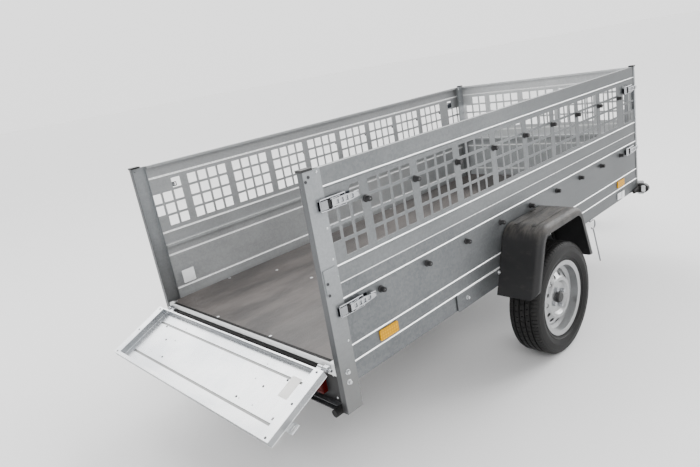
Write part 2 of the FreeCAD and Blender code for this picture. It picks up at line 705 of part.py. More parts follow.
def arm():
    """A trailing arm with its stub axle: two eyes joined by their tangents."""
    reach, rise = size("arm_reach"), size("arm_rise")
    big, small, thick = size("axle_tube") * 0.62, size("stub_radius") * 1.9, size("arm_thick")
    far = Vector(-reach, 0, -rise)
    span = far.Length
    along = Vector(far).normalize()
    lean = math.asin((big - small) / span)
    corners = []
    for side in (1, -1):
        turn = Rotation(AXIS_Y, side * (90 + math.degrees(lean)) - side * 2 * math.degrees(lean))
        normal = turn.multVec(along)
        corners.append((normal * big, far + normal * small))
    web = Part.Face(Part.makePolygon([corners[0][0], corners[0][1], corners[1][1],
                                      corners[1][0], corners[0][0]]))
    solid = web.extrude(AXIS_Y * thick)
    solid = solid.fuse(Part.makeCylinder(big, thick, Vector(), AXIS_Y))
    solid = solid.fuse(Part.makeCylinder(small, thick, far, AXIS_Y))
    stub = size("track") / 2 - size("axle_half") - 20
    solid = solid.fuse(Part.makeCylinder(size("stub_radius"), stub, far, AXIS_Y))
    item = doc.addObject("Part::Feature", "Arm")
    item.Shape = solid.removeSplitter()
    return place(item, tube_x, "axle_half", tube_z)


swing_arm = arm()
keep(swing_arm, "swing_arm_left")
keep(mirrored(swing_arm), "swing_arm_right")


# ---------------------------------------------------------------- wheels
def turned(section, x, y, z, axis_plane="YZ_Plane"):
    """A body of revolution about the Y axis; the section gives y and radius."""
    body = new_body("Turned")
    for points in section:
        drawn = new_sketch(body, axis_plane)
        outline(drawn, points)
        revolve(body, drawn)
    return place(body, x, y, z)


def tyre_section(radius, wide, seat, flange, rim_half_, wall_):
    """Section of a tyre: y and radius, a crowned tread, bulged sides and two beads."""
    half, bead = "%s / 2" % wide, "%s - 7" % rim_half_
    belly = "(%s + %s) / 2" % (seat, radius)
    height = "(%s - (%s))" % (radius, seat)
    shoulder = "%s - %s * 0.16" % (radius, height)
    knots = [(bead, seat), (bead, "%s + 2" % flange), (half, belly),
             ("%s * 0.975" % half, shoulder), ("%s * 0.72" % half, "%s - 3" % radius)]
    # what each run between two knots passes: a straight line, or an arc's middle
    runs = [(), ("%s * 0.95" % half, "%s * 0.52 + (%s + 2) * 0.48" % (belly, flange)),
            ("%s * 0.994" % half, "(%s + %s) / 2" % (belly, shoulder)),
            ("%s * 0.9" % half, "%s - %s * 0.07" % (radius, height))]
    up = [("-(%s)" % knot[0], knot[1]) + (("-(%s)" % run[0], run[1]) if run else ())
          for knot, run in zip(knots, [()] + runs)]
    down = [knots[4] + ("0", radius)] + [knots[i] + runs[i] for i in (3, 2, 1, 0)]
    return up + down + [
        ("(%s) - 8" % bead, seat),
        ("(%s) - %s" % (half, wall_), belly),
        ("(%s) * 0.62" % half, "%s - %s" % (radius, wall_)),
        ("-(%s) * 0.62" % half, "%s - %s" % (radius, wall_)),
        ("-(%s) + %s" % (half, wall_), belly), ("-(%s) + 8" % bead, seat)]


wheel_y = "track / 2"
wheel_z = "tyre_radius"
tyre = turned([tyre_section("tyre_radius", "tyre_wide", "seat_radius + running_gap",
                            "rim_radius", "rim_half", "11")], "axle_place", wheel_y, wheel_z)
grooves = new_sketch(tyre, "YZ_Plane")
for index in range(4):
    middle = "%g * groove_pitch" % (index - 1.5)
    outline(grooves, [(middle + " - groove_wide / 2", "tyre_radius + 5"),
                      (middle + " - groove_wide / 2", "tyre_radius - groove_deep"),
                      (middle + " + groove_wide / 2", "tyre_radius - groove_deep"),
                      (middle + " + groove_wide / 2", "tyre_radius + 5")])
revolve(tyre, grooves, kind="Groove")
keep(tyre, "tyre_left")
keep(mirrored(tyre), "tyre_right")

# rim: a rolled barrel with a drop centre, and a dished disc welded into it
barrel = [
    ("-rim_half", "rim_radius"), ("-rim_half + 4", "rim_radius"), ("-rim_half + 7", "seat_radius"),
    ("-rim_half + 30", "seat_radius - 2"), ("-rim_half + 38", "well_radius"),
    ("rim_half - 50", "well_radius"), ("rim_half - 42", "seat_radius - 2"),
    ("rim_half - 7", "seat_radius"), ("rim_half - 4", "rim_radius"), ("rim_half", "rim_radius"),
    ("rim_half", "rim_radius - rim_skin"), ("rim_half - 3", "seat_radius - rim_skin"),
    ("rim_half - 40", "seat_radius - 2 - rim_skin"), ("rim_half - 48", "well_radius - rim_skin"),
    ("-rim_half + 36", "well_radius - rim_skin"),
    ("-rim_half + 28", "seat_radius - 2 - rim_skin"), ("-rim_half + 3", "seat_radius - rim_skin"),
    ("-rim_half", "rim_radius - rim_skin")]
disc = [
    ("disc_offset", "hub_bore"), ("disc_offset + rim_skin", "hub_bore"),
    ("disc_offset + rim_skin", "hub_flange + 6"), ("disc_offset + 17", "hub_flange + 18"),
    ("disc_offset + 17", "hub_flange + 34"), ("disc_offset - 6", "vent_circle + 16"),
    ("disc_offset - 18", "well_radius - 1"), ("disc_offset - 18 - rim_skin", "well_radius - 1"),
    ("disc_offset - 10", "vent_circle + 13"), ("disc_offset + 13", "hub_flange + 32"),
    ("disc_offset + 13", "hub_flange + 20"), ("disc_offset", "hub_flange + 9")]
rim = turned([barrel, disc], "axle_place", wheel_y, wheel_z)
vent_drawn = new_sketch(rim, "XZ_Plane")
circle(vent_drawn, "vent_radius", "vent_circle")
ring(rim, pocket(rim, vent_drawn, "rim_wide", midplane=True), "Y_Axis", "vents")
keep(rim, "rim_left")
keep(mirrored(rim), "rim_right")

# hub: a flange against the disc, a barrel over the stub axle, a nose in the disc's bore
hub = turned([[
    ("-hub_inner", "stub_radius + running_gap"), ("-hub_inner", "hub_radius"),
    ("disc_offset - 12", "hub_radius + 4"), ("disc_offset - 12", "hub_flange"),
    ("disc_offset", "hub_flange"), ("disc_offset", "hub_bore - running_gap"),
    ("disc_offset + 10", "hub_bore - running_gap"), ("disc_offset + 10", "0"),
    ("-14", "0"), ("-14", "stub_radius + running_gap")]], "axle_place", wheel_y, wheel_z)
keep(hub, "hub_left")
keep(mirrored(hub), "hub_right")
hub_cap = turned([[
    ("disc_offset + 10", "0"), ("disc_offset + 10", "hub_bore - 1"),
    ("disc_offset + 17", "hub_bore - 2"),
    ("disc_offset + 23", "hub_bore - 10", "disc_offset + 22", "hub_bore - 4"),
    ("disc_offset + 24", "0")]], "axle_place", wheel_y, wheel_z)
keep(hub_cap, "hub_cap_left")
keep(mirrored(hub_cap), "hub_cap_right")


# ---------------------------------------------------------------- fenders
def fender_arch(inset, extra=0):
    """Outline of a fender seen from the side, drawn in by an inset: a straight back
    and front that lean inwards, a flat top and two rounded upper corners."""
    half, shoulder = size("fender_half"), size("fender_shoulder")
    foot, top = size("fender_foot"), size("fender_top")
    radius = size("fender_round") - inset
    lean = math.atan2(half - shoulder, top - foot)
    side_in = inset / math.cos(lean)
    crown = top - inset
    corner = shoulder - side_in + inset * math.tan(lean)
    tangent = radius * math.tan((math.pi / 2 - lean) / 2)
    bottom = foot - extra
    foot_x = half - side_in + extra * math.tan(lean)
    low = Vector(corner + tangent * math.sin(lean), 0, crown - tangent * math.cos(lean))
    flat = Vector(corner - tangent, 0, crown)
    middle = Vector(flat.x, 0, crown - radius)
    turn = (math.pi / 2 - lean) / 2
    bulge = middle + Vector(math.sin(turn), 0, math.cos(turn)) * radius
    right = [Vector(foot_x, 0, bottom), low, bulge, flat]
    left = [Vector(-p.x, 0, p.z) for p in right]
    edges = [Part.makeLine(left[0], right[0]), Part.makeLine(right[0], right[1]),
             Part.Arc(right[1], right[2], right[3]).toShape(),
             Part.makeLine(right[3], left[3]),
             Part.Arc(left[3], left[2], left[1]).toShape(), Part.makeLine(left[1], left[0])]
    return Part.Face(Part.Wire(edges))


def fender_shape():
    """A moulded fender: a band over the wheel, a deep outer lip and a shallow inner
    one, with a rounded outer edge, rounded lower corners and two ribs along the top."""
    skin, wide, edge = size("fender_skin"), size("fender_wide"), size("fender_edge")
    lip, inner_lip, foot = size("fender_lip"), size("fender_lip") * 0.6, size("fender_foot")

    def block(inset, extra, low, high, radius):
        solid = fender_arch(inset, extra).extrude(AXIS_Y * (high - low))
        solid.translate(AXIS_Y * low)
        rim = [line for line in solid.Edges
               if abs(line.BoundBox.YMin - high) < 0.01 and line.BoundBox.ZMax > foot + 1]
        return solid.makeFillet(radius, rim) if radius else solid

    band = block(0, 0, 0, wide, edge)
    across = size("rib_rear") + size("rib_front")
    for middle, width in ((40, 18), (wide * 0.665, 26)):
        rib = block(-size("rib_high"), 0, middle - width / 2, middle + width / 2, 0)
        reach = Part.makeBox(across, wide, size("fender_round") + 20,
                             Vector(-size("rib_rear"), 0, size("fender_top") - size("fender_round")))
        band = band.fuse(rib.common(reach))
    shape = band.cut([block(skin, 2, skin, wide - skin, edge - skin),
                      block(lip, 2, wide - edge, wide + 2, 0), block(inner_lip, 2, -2, skin + 2, 0)])
    # the lower corners, cut along the whole fender at once
    corner, half = size("fender_corner"), size("fender_half") + 10
    low, out = Vector(-half, wide - corner, foot), Vector(-half, wide, foot + corner)
    bulge = Vector(-half, wide, foot) + Vector(0, -1, 1) * corner * (1 - math.sqrt(0.5))
    trim = Part.Face(Part.Wire([
        Part.Arc(low, bulge, out).toShape(), Part.makeLine(out, Vector(-half, wide + 5, foot + corner)),
        Part.makeLine(Vector(-half, wide + 5, foot + corner), Vector(-half, wide + 5, foot - 5)),
        Part.makeLine(Vector(-half, wide + 5, foot - 5), Vector(-half, wide - corner, foot - 5)),
        Part.makeLine(Vector(-half, wide - corner, foot - 5), low)]))
    return shape.cut(trim.extrude(AXIS_X * 2 * half)).removeSplitter()


fender = doc.addObject("Part::Feature", "Fender")
fender.Shape = fender_shape()
place(fender, "axle_place", "fender_inner")
keep(fender, "fender_left")
keep(mirrored(fender), "fender_right")
keep(pair(place(sheet_plate("-side_plate_half", "0", "side_plate_half", "side_plate_high",
                      "side_plate_round", "side_plate_thick"), "axle_place", "half_width",
                "side_plate_foot")), "side_plates")


# ---------------------------------------------------------------- tailgate
# The tailgate is drawn shut, about its hinge pin: x to its inner face, z up its
# height. It is then laid down about the pin.
def hung(item):
    """Lays a piece of the tailgate down about the hinge pin."""
    return place(item, "-hinge_back", "0", "hinge_height", AXIS_Y, "-90 - gate_droop")


# a tray that is open to the inside: the sheet, a wall and a lip along each long edge
gate = new_body("Gate")
gate_drawn = new_sketch(gate, "XZ_Plane")
outline(gate_drawn, [
    ("gate_behind", "gate_below"), ("gate_face", "gate_below"),
    ("gate_face", "gate_below + gate_hem"), ("gate_face - gate_skin", "gate_below + gate_hem"),
    ("gate_face - gate_skin", "gate_below + gate_skin"),
    ("gate_behind + gate_skin", "gate_below + gate_skin"),
    ("gate_behind + gate_skin", "gate_tip - gate_skin"),
    ("gate_face - gate_skin", "gate_tip - gate_skin"),
    ("gate_face - gate_skin", "gate_tip - gate_lip"), ("gate_face", "gate_tip - gate_lip"),
    ("gate_face", "gate_tip"), ("gate_behind", "gate_tip")])
pad(gate, gate_drawn, "2 * gate_half", midplane=True)
# the folded ends: a wall outside, a broad lip and a second wall back to the sheet
fold_inner = "gate_half - gate_end"
for side in ("", "-"):
    fold = new_sketch(gate, "XY_Plane", "gate_below")
    outline(fold, [(x, "%s(%s)" % (side, y)) for x, y in (
        ("gate_behind", "gate_half"), ("gate_face", "gate_half"), ("gate_face", fold_inner),
        ("gate_behind", fold_inner), ("gate_behind", fold_inner + " + gate_skin"),
        ("gate_face - gate_skin", fold_inner + " + gate_skin"),
        ("gate_face - gate_skin", "gate_half - gate_skin"),
        ("gate_behind", "gate_half - gate_skin"))])
    pad(gate, fold, "gate_length")
# two long grooves pressed outwards, between the folded ends
groove_half = "(%s - 16)" % fold_inner
groove_places = ["gate_below + gate_groove", "gate_tip - gate_groove"]
backs = new_sketch(gate, "YZ_Plane", "gate_behind - bead_proud")
hollows = new_sketch(gate, "YZ_Plane", "gate_behind - bead_proud + gate_skin")
for groove in groove_places:
    rounded(backs, "-" + groove_half, groove + " - bead_wide / 2 - gate_skin", groove_half,
            groove + " + bead_wide / 2 + gate_skin", "(bead_wide / 2 + gate_skin - 0.1)")
    rounded(hollows, "-%s + gate_skin" % groove_half, groove + " - bead_wide / 2",
            groove_half + " - gate_skin", groove + " + bead_wide / 2", "(bead_wide / 2 - 0.1)")
pad(gate, backs, "bead_proud")
pocket(gate, hollows, "bead_proud + 1", reversed_=True)
# holes in the sheet for a number plate and a drain slot
holes = new_sketch(gate, "YZ_Plane", "gate_behind")
for y, z in ((319, 44), (319, 114), (319, 206), (405, 206)):
    for side in (1, -1):
        circle(holes, "gate_hole", "%d" % (side * y), "gate_below + %d" % z)
rounded(holes, "-%s + 18" % groove_half, "gate_below + 208", "-%s + 28" % groove_half,
        "gate_below + 220", "4")
pocket(gate, holes, "4 * gate_skin", midplane=True)
keep(hung(gate), "tailgate_panel")

# knuckles: a strap on the tray's outer face that ends in an eye on the pin
ACROSS = (AXIS_X, "-90")
knuckle_y = "gate_half - 75"
knuckle = joined(
    rod("knuckle_radius", "knuckle_wide", "0", knuckle_y, "0", *ACROSS, start="0"),
    box("4", "knuckle_wide", "gate_below + 32", "gate_behind - 4", knuckle_y, "0", start="0"))
hinge_pin = rod("pin_radius", "gate_half - 6 - (%s)" % knuckle_y, "0", knuckle_y, "0",
                *ACROSS, start="0")
keep(hung(pair(joined(knuckle, hinge_pin))), "hinge_knuckles")

# catch plates: a pad under each end of the tray and a slotted tongue past it
catch_z = "gate_below + 190"
catch_plate = joined(
    box("3", "gate_end + catch_reach", "catch_long", "0", fold_inner, catch_z, start="0"),
    box("gate_behind", "gate_end", "catch_long", "0", fold_inner, catch_z, start="0"))
catch_slot = box("9", "8", "catch_long - 16", "-3", "gate_half + catch_reach - 17",
                 "%s + 8" % catch_z, start="0")
keep(hung(pair(cut(catch_plate, catch_slot))), "gate_catches")

# lugs on the sill that carry the hinge pins
lug_y = "%s + knuckle_wide + 5" % knuckle_y
lug = joined(
    rod("knuckle_radius + 2", "lug_wide", "-hinge_back", lug_y, "hinge_height", *ACROSS),
    box("hinge_back + sill_back", "lug_wide", "2 * knuckle_radius + 4", "-hinge_back", lug_y,
        "hinge_height - knuckle_radius - 2"))
lug_bore = rod("pin_radius + running_gap", "lug_wide + 4", "-hinge_back", "%s - 2" % lug_y,
               "hinge_height", *ACROSS)
keep(pair(cut(lug, lug_bore)), "hinge_lugs")


# ---------------------------------------------------------------- drawbar
def drawbar_tube():
    """One leg of the V: a rectangular tube cut square to the trailer at both ends."""
    start = Vector(size("bar_start"), size("bar_start_half"), 0)
    end = Vector(size("bar_end"), size("bar_end_half"), 0)
    run = Vector(end - start).normalize()
    half = size("bar_wide") / 2 / run.x
    wall_across = size("bar_skin") / run.x
    low = size("rail_foot") - size("bar_high")

    def slab(across, foot, high):
        corners = [Vector(p.x, p.y + side * across, foot)
                   for p, side in ((start, -1), (end, -1), (end, 1), (start, 1))]
        return Part.Face(Part.makePolygon(corners + corners[:1])).extrude(AXIS_Z * high)

    outer = slab(half, low, size("bar_high"))
    inner = slab(half - wall_across, low + size("bar_skin"), size("bar_high") - 2 * size("bar_skin"))
    item = doc.addObject("Part::Feature", "Drawbar")
    item.Shape = outer.cut(inner)
    return place(item)


drawbar = drawbar_tube()
keep(drawbar, "drawbar_left")
keep(mirrored(drawbar), "drawbar_right")

# a plate across the V that carries the jockey wheel's clamp
plate_x = "jockey_place - jockey_plate / 2"
jockey_bore = "jockey_radius + 1"
bar_top = "rail_foot"
plate = box("jockey_plate", "plate_half * 2", "plate_thick", plate_x, "-plate_half", bar_top)
collar = rod("jockey_radius + 8", "collar_high", "jockey_place", "0", "%s + plate_thick" % bar_top)
clamp_screw = rod("6", "58", "jockey_place", "jockey_radius + 4", "%s + plate_thick + 30" % bar_top,
                  *ACROSS)
clamp_grip = rod("5", "90", "jockey_place - 45", "jockey_radius + 62",
                 "%s + plate_thick + 30" % bar_top, AXIS_Y, "90")
bore = rod(jockey_bore, "plate_thick + collar_high + 20", "jockey_place", "0", "%s - 10" % bar_top)
keep(cut(joined(plate, collar, clamp_screw, clamp_grip), bore), "jockey_clamp")

# coupling: a channel over the tip of the V that narrows to a neck and a ball cup
def coupling_shape():
    """Pressed coupling head: a lofted channel, open below, that ends in a ball cup."""
    skin = size("cup_skin")
    ball_x, ball_z, ball = size("ball_place"), size("ball_height"), size("ball_radius")
    top = size("rail_foot")
    run = size("bar_end") - size("bar_start")
    spread = (size("bar_start_half") - size("bar_end_half")) / run
    across = size("bar_wide") / 2 * math.hypot(1, spread) + size("running_gap")

    def bar_side(x):
        return size("bar_end_half") + spread * (size("bar_end") - x) + across

    def frame(x, half, foot, head):
        corners = [Vector(x, -half, foot), Vector(x, half, foot), Vector(x, half, head),
                   Vector(x, -half, head), Vector(x, -half, foot)]
        return Part.makePolygon(corners)

    tail_x = size("bar_end") - 110
    neck_x = size("bar_end") + 12
    outer = Part.makeLoft([frame(tail_x, bar_side(tail_x) + skin, top - 44, top + skin),
                           frame(neck_x, bar_side(neck_x) + skin, top - 44, top + skin)], True)
    outer = outer.fuse(Part.makeLoft([
        frame(neck_x, bar_side(neck_x) + skin, top - 44, top + skin),
        frame(ball_x - 20, ball + skin, ball_z - 18, ball_z + ball + skin)], True))
    inner = Part.makeLoft([frame(tail_x - 1, bar_side(tail_x - 1), top - 70, top),
                           frame(neck_x, bar_side(neck_x), top - 70, top)], True)
    inner = inner.fuse(Part.makeLoft([
        frame(neck_x, bar_side(neck_x), top - 70, top),
        frame(ball_x - 30, ball - 1, ball_z - 40, ball_z + ball - 4)], True))
    cup = Part.makeCylinder(ball + skin + 6, ball + 18 + skin, Vector(ball_x, 0, ball_z - 18))
    crown = [edge for edge in cup.Edges if edge.BoundBox.ZMin > ball_z and edge.Closed]
    cup = cup.makeFillet(12, crown)
    head = outer.fuse(cup).cut(inner)
    socket = Part.makeCylinder(ball + 0.5, 40, Vector(ball_x, 0, ball_z - 40))
    socket = socket.fuse(Part.makeSphere(ball + 0.5, Vector(ball_x, 0, ball_z)))
    return head.cut(socket)


coupling = doc.addObject("Part::Feature", "Coupling")
coupling.Shape = coupling_shape()
keep(place(coupling), "coupling_head")

lever = new_body("Lever")
lever_drawn = new_sketch(lever, "XZ_Plane")
slope = "(ball_height + ball_radius - rail_foot) / (ball_place - 32 - bar_end)"
crown = "rail_foot + cup_skin + (%s - bar_end - 12) * " + slope
lever_back, lever_front = "(ball_place - 90)", "(ball_place - 45)"
lever_z = "ball_height + ball_radius + cup_skin"
outline(lever_drawn, [
    (lever_back, crown % lever_back), (lever_front, crown % lever_front),
    ("ball_place - 22", "%s + 22" % lever_z), ("ball_place - 60", "%s + 34" % lever_z),
    ("ball_place - 150", "%s + 40" % lever_z), ("ball_place - 152", "%s + 26" % lever_z),
    ("ball_place - 80", "%s + 18" % lever_z)])
pad(lever, lever_drawn, "30", midplane=True)
keep(place(lever), "coupling_lever")

# ---------------------------------------------------------------- jockey wheel
# outer tube, inner tube with its fork, crank, wheel
tube_foot = "jockey_wheel_radius * 2 + 45"
outer_tube = rod("jockey_radius", "jockey_tube", "jockey_place", "0", tube_foot)
tube_hollow = rod("jockey_radius - 3", "jockey_tube + 2", "jockey_place", "0", "%s - 1" % tube_foot)
keep(cut(outer_tube, tube_hollow), "jockey_tube")
top_z = "%s + jockey_tube" % tube_foot
crank = joined(
    rod("jockey_radius", "10", "jockey_place", "0", top_z),
    rod("7", "34", "jockey_place", "0", top_z),
    box("100", "14", "8", "jockey_place - 93", "-7", "%s + 34" % top_z),
    rod("11", "80", "jockey_place - 86", "0", "%s + 34" % top_z))
keep(crank, "jockey_crank")

axle_z = "jockey_wheel_radius"
fork_half = "jockey_wheel_wide / 2 + 6"
inner_tube = rod("jockey_radius - 3 - running_gap", "40", "jockey_place", "0",
                 "%s - 20" % tube_foot)
fork_crown = box("46 + jockey_trail", "2 * (%s) + 10" % fork_half, "6",
                 "jockey_place - 20 - jockey_trail", "-(%s) - 5" % fork_half, "%s - 26" % tube_foot)


def fork_cheek(y):
    """A cheek of the fork: a plate that narrows to an eye round the wheel's pin."""
    body = new_body("Cheek")
    drawn = new_sketch(body, "XZ_Plane", "-(%s)" % y)
    outline(drawn, [
        ("jockey_place - 20 - jockey_trail", "%s - 24" % tube_foot),
        ("jockey_place - jockey_trail - 16", axle_z),
        ("jockey_place - jockey_trail + 16", axle_z,
         "jockey_place - jockey_trail", "%s - 16" % axle_z),
        ("jockey_place + 26", "%s - 24" % tube_foot)])
    pad(body, drawn, "5", reversed_=True)
    return place(body)


fork_pin = rod("6", "2 * (%s) + 14" % fork_half, "jockey_place - jockey_trail",
               "-(%s) - 7" % fork_half, axle_z, *ACROSS)
keep(joined(inner_tube, fork_crown, fork_cheek(fork_half), fork_cheek("-(%s) - 5" % fork_half),
            fork_pin), "jockey_fork")
# the screw that the crank turns, inside the outer tube
keep(rod("screw_radius", "jockey_tube * 0.6 - 40", "jockey_place", "0", "%s + 20" % tube_foot),
     "jockey_stem")

jockey_tyre = turned([[
    ("-jockey_wheel_wide / 2", "jockey_wheel_radius * 0.62"),
    ("-jockey_wheel_wide / 2 + 2", "jockey_wheel_radius - 8"),
    ("jockey_wheel_wide / 2 - 2", "jockey_wheel_radius - 8", "0", "jockey_wheel_radius"),
    ("jockey_wheel_wide / 2", "jockey_wheel_radius * 0.62")]],
    "jockey_place - jockey_trail", "0", axle_z)
keep(jockey_tyre, "jockey_tyre")
jockey_rim = turned([[
    ("-jockey_wheel_wide / 2", "6 + running_gap"), ("-jockey_wheel_wide / 2", "16"),
    ("-4", "20"), ("-4", "jockey_wheel_radius * 0.5"),
    ("-jockey_wheel_wide / 2 + 3", "jockey_wheel_radius * 0.56"),
    ("-jockey_wheel_wide / 2 + 3", "jockey_wheel_radius * 0.62"),
    ("jockey_wheel_wide / 2 - 3", "jockey_wheel_radius * 0.62"),
    ("jockey_wheel_wide / 2 - 3", "jockey_wheel_radius * 0.56"),
    ("4", "jockey_wheel_radius * 0.5"), ("4", "20"),
    ("jockey_wheel_wide / 2", "16"), ("jockey_wheel_wide / 2", "6 + running_gap")]],
    "jockey_place - jockey_trail", "0", axle_z)
keep(jockey_rim, "jockey_rim")

# ---------------------------------------------------------------- lights
board_foot = "rear_bar_foot + rear_bar_high"
board_top = "sill_top - sill_high"
board_half = "(inner_face - 2 * buffer_radius)"
keep(box("light_board_thick", "2 * " + board_half, "%s - (%s)" % (board_top, board_foot),
         "light_board_place", "-" + board_half, board_foot), "light_board")
lamp = new_body("Lamp")
lamp_drawn = new_sketch(lamp, "YZ_Plane")
lamp_foot = board_foot + " + lamp_above"
rounded(lamp_drawn, "lamp_outer - lamp_wide", lamp_foot, "lamp_outer", lamp_foot + " + lamp_high",
        "lamp_round")
pad(lamp, lamp_drawn, "lamp_deep")
keep(pair(place(lamp, "light_board_place - lamp_deep")), "tail_lamps")
buffer_y = "inner_face - buffer_radius"
# the bar below the lights is a channel that is open to the rear
rear_bar = new_body("Bar")
bar_drawn = new_sketch(rear_bar, "XZ_Plane")
bar_inner = "rear_bar_deep - rear_bar_skin"
outline(bar_drawn, [
    ("0", "0"), ("rear_bar_deep", "0"), ("rear_bar_deep", "rear_bar_high"), ("0", "rear_bar_high"),
    ("0", "rear_bar_high - rear_bar_skin"), (bar_inner, "rear_bar_high - rear_bar_skin"),
    (bar_inner, "rear_bar_skin"), ("0", "rear_bar_skin")])
pad(rear_bar, bar_drawn, "2 * " + board_half, midplane=True)
keep(place(rear_bar, "0", "0", "rear_bar_foot"), "rear_bar")
keep(pair(rod("buffer_radius", "buffer_length", "-buffer_back", buffer_y,
              "rear_bar_foot + rear_bar_high / 2", AXIS_Y, "90")), "rear_buffers")

reflector_foot = "bead_low + bead_wide / 2 + 9"
reflector = sheet_plate("0", "0", "reflector_long", "reflector_high", "lamp_round / 2", "6")
keep(pair(joined(*[copy_at(reflector, x, "panel_face", reflector_foot)
                   for x in ("reflector_rear", "reflector_front")])), "side_reflectors")

# front marker lamps: a flat arm with a rounded tip on a plate that hangs from the post
marker_inner = "marker_tip - marker_long"
keep(pair(box("marker_plate", "half_width - (%s)" % marker_inner, "panel_foot + 40 - marker_foot",
              "box_length", marker_inner, "marker_foot")), "marker_brackets")
marker = new_body("Marker")
marker_drawn = new_sketch(marker, "YZ_Plane")
outline(marker_drawn, [
    (marker_inner, "marker_foot"), ("marker_tip - marker_high / 2", "marker_foot"),
    ("marker_tip - marker_high / 2", "marker_foot + marker_high",
     "marker_tip", "marker_foot + marker_high / 2"),
    (marker_inner, "marker_foot + marker_high")])
pad(marker, marker_drawn, "marker_deep")
keep(pair(place(marker, "box_length + marker_plate")), "marker_lamps")


# ---------------------------------------------------------------- latches and knobs
def latch():
    """A toggle latch, drawn shut from the rear end of its keeper: the keeper, a base
    with two ears, the lever with its ribs, and the wire bail that the lever pulls."""
    body = new_body("Latch")
    for points, low, high in (
            # the keeper, a plate that is folded back on itself
            ([("4", "bead_proud"), ("42", "bead_proud"), ("42", "bead_proud + 2.5"),
              ("13", "bead_proud + 2.5"), ("13", "bead_proud + 8"), ("40", "bead_proud + 8"),
              ("40", "bead_proud + 10.5"), ("10.5", "bead_proud + 10.5"),
              ("10.5", "bead_proud + 2.5"), ("4", "bead_proud + 2.5")], "-15", "15"),
            ([("46", "0"), ("150", "0"), ("150", "2.5"), ("46", "2.5")], "-17", "17"),
            ([("50", "2"), ("104", "2"), ("98", "14"), ("84", "16"), ("62", "22"), ("50", "18")],
             "-17", "-14.5"),
            ([("50", "2"), ("104", "2"), ("98", "14"), ("84", "16"), ("62", "22"), ("50", "18")],
             "14.5", "17")):
        drawn = new_sketch(body, "XY_Plane", low)
        outline(drawn, points)
        pad(body, drawn, "%s - (%s)" % (high, low))
    lever = new_sketch(body, "XZ_Plane", "-12")
    outline(lever, [("54", "-12"), ("120", "-14"), ("168", "-9"), ("168", "9", "177", "0"),
                    ("120", "14"), ("54", "12")])
    pad(body, lever, "7", reversed_=True)
    well = new_sketch(body, "XZ_Plane", "-19")
    rounded(well, "70", "-8", "154", "8", "5")
    pocket(body, well, "4", reversed_=True)
    ribs = new_sketch(body, "XZ_Plane", "-14")
    for index in range(3):
        x = 84 + 22 * index
        outline(ribs, [("%d" % x, "-9"), ("%d" % (x + 9), "-9"),
                       ("%d" % (x + 9), "9"), ("%d" % x, "9")])
    pad(body, ribs, "4.5", reversed_=True)
    wires = []
    for side in ("-20", "20"):
        wires.append(rod("wire_radius", "112", "8", "12", side, AXIS_Y, "90", start="0"))
    for x, low, long in (("8", "-20", "40"), ("120", "-20", "40"), ("184", "-9", "18")):
        wires.append(rod("wire_radius", long, x, "12", low, start="0"))
    # the pin through the ears and the lever
    wires.append(rod("wire_radius + 0.5", "37", "60", "15", "-18.5", start="0"))
    for side in ("-9", "9"):
        wires.append(rod("wire_radius", "24", "160", "12", side, AXIS_Y, "90", start="0"))
    return joined(body, *wires)


# a latch is alike above and below, so the right side has it turned over
latch_piece = latch()
latches = []
for x in ("latch_rear", "box_length - latch_front"):
    for z in ("latch_high", "latch_low"):
        latches += [copy_at(latch_piece, x, "panel_face", z),
                    copy_at(latch_piece, x, "-panel_face", z, AXIS_X, "180")]
keep(joined(*latches), "corner_latches")

# a rope knob: a foot, a neck and a wider head with a recess
knob = new_body("Knob")
knob_drawn = new_sketch(knob, "YZ_Plane")
outline(knob_drawn, [
    ("0", "0"), ("0", "knob_radius - 1"), ("3", "knob_radius - 1"),
    ("knob_proud - 9", "knob_radius - 6", "7", "knob_radius - 6.5"),
    ("knob_proud - 6", "knob_radius"), ("knob_proud - 2", "knob_radius"),
    ("knob_proud", "knob_radius - 3"), ("knob_proud", "knob_radius / 2"),
    ("knob_proud - 5", "knob_radius / 2 - 1"), ("knob_proud - 5", "0")])
revolve(knob, knob_drawn)


def knob_row(count, z, turned_front=False):
    """A row of rope knobs, on the wide bars of a side or of the front."""
    along = ["%g * group_pitch" % (index - (count - 1) / 2) for index in range(count)]
    if turned_front:
        return [copy_at(knob, "box_length - bead_proud", y, z, AXIS_Z, "-90") for y in along]
    return [copy_at(knob, "box_length / 2 + " + x, "panel_face", z) for x in along]


knobs = joined(*knob_row(9, "knob_high"), *knob_row(9, "knob_low"))
keep(knobs, "rope_knobs_left")
keep(mirrored(knobs), "rope_knobs_right")
keep(joined(*knob_row(4, "knob_high", True), *knob_row(4, "knob_low", True)), "rope_knobs_front")


def side_hook():
    """A bent steel rod under the right rail: a stem, an open hook and a straight tail."""
    wire, bend = size("hook_wire"), size("hook_bend")
    out = -size("wall")

    def bar(low, high):
        return Part.makeCylinder(wire, (high - low).Length, low, high - low)

    top, middle = Vector(bend, out, 0), Vector(bend, out, -bend)
    round_face = Part.Face(Part.Wire([Part.Circle(top, AXIS_X, wire).toShape()]))
    foot = middle + Vector(0, 0, -bend)
    pieces = [bar(Vector(-12, out, 0), top), round_face.revolve(middle, AXIS_Y, 235),
              bar(Vector(0, 30, 0), Vector(0, out, 0)), bar(foot, foot + Vector(74, 0, -225))]
    item = doc.addObject("Part::Feature", "Hook")
    item.Shape = pieces[0].multiFuse(pieces[1:])
    return place(item, "hook_place", "-inner_face", "rail_foot - hook_wire - running_gap")


keep(side_hook(), "side_hook")

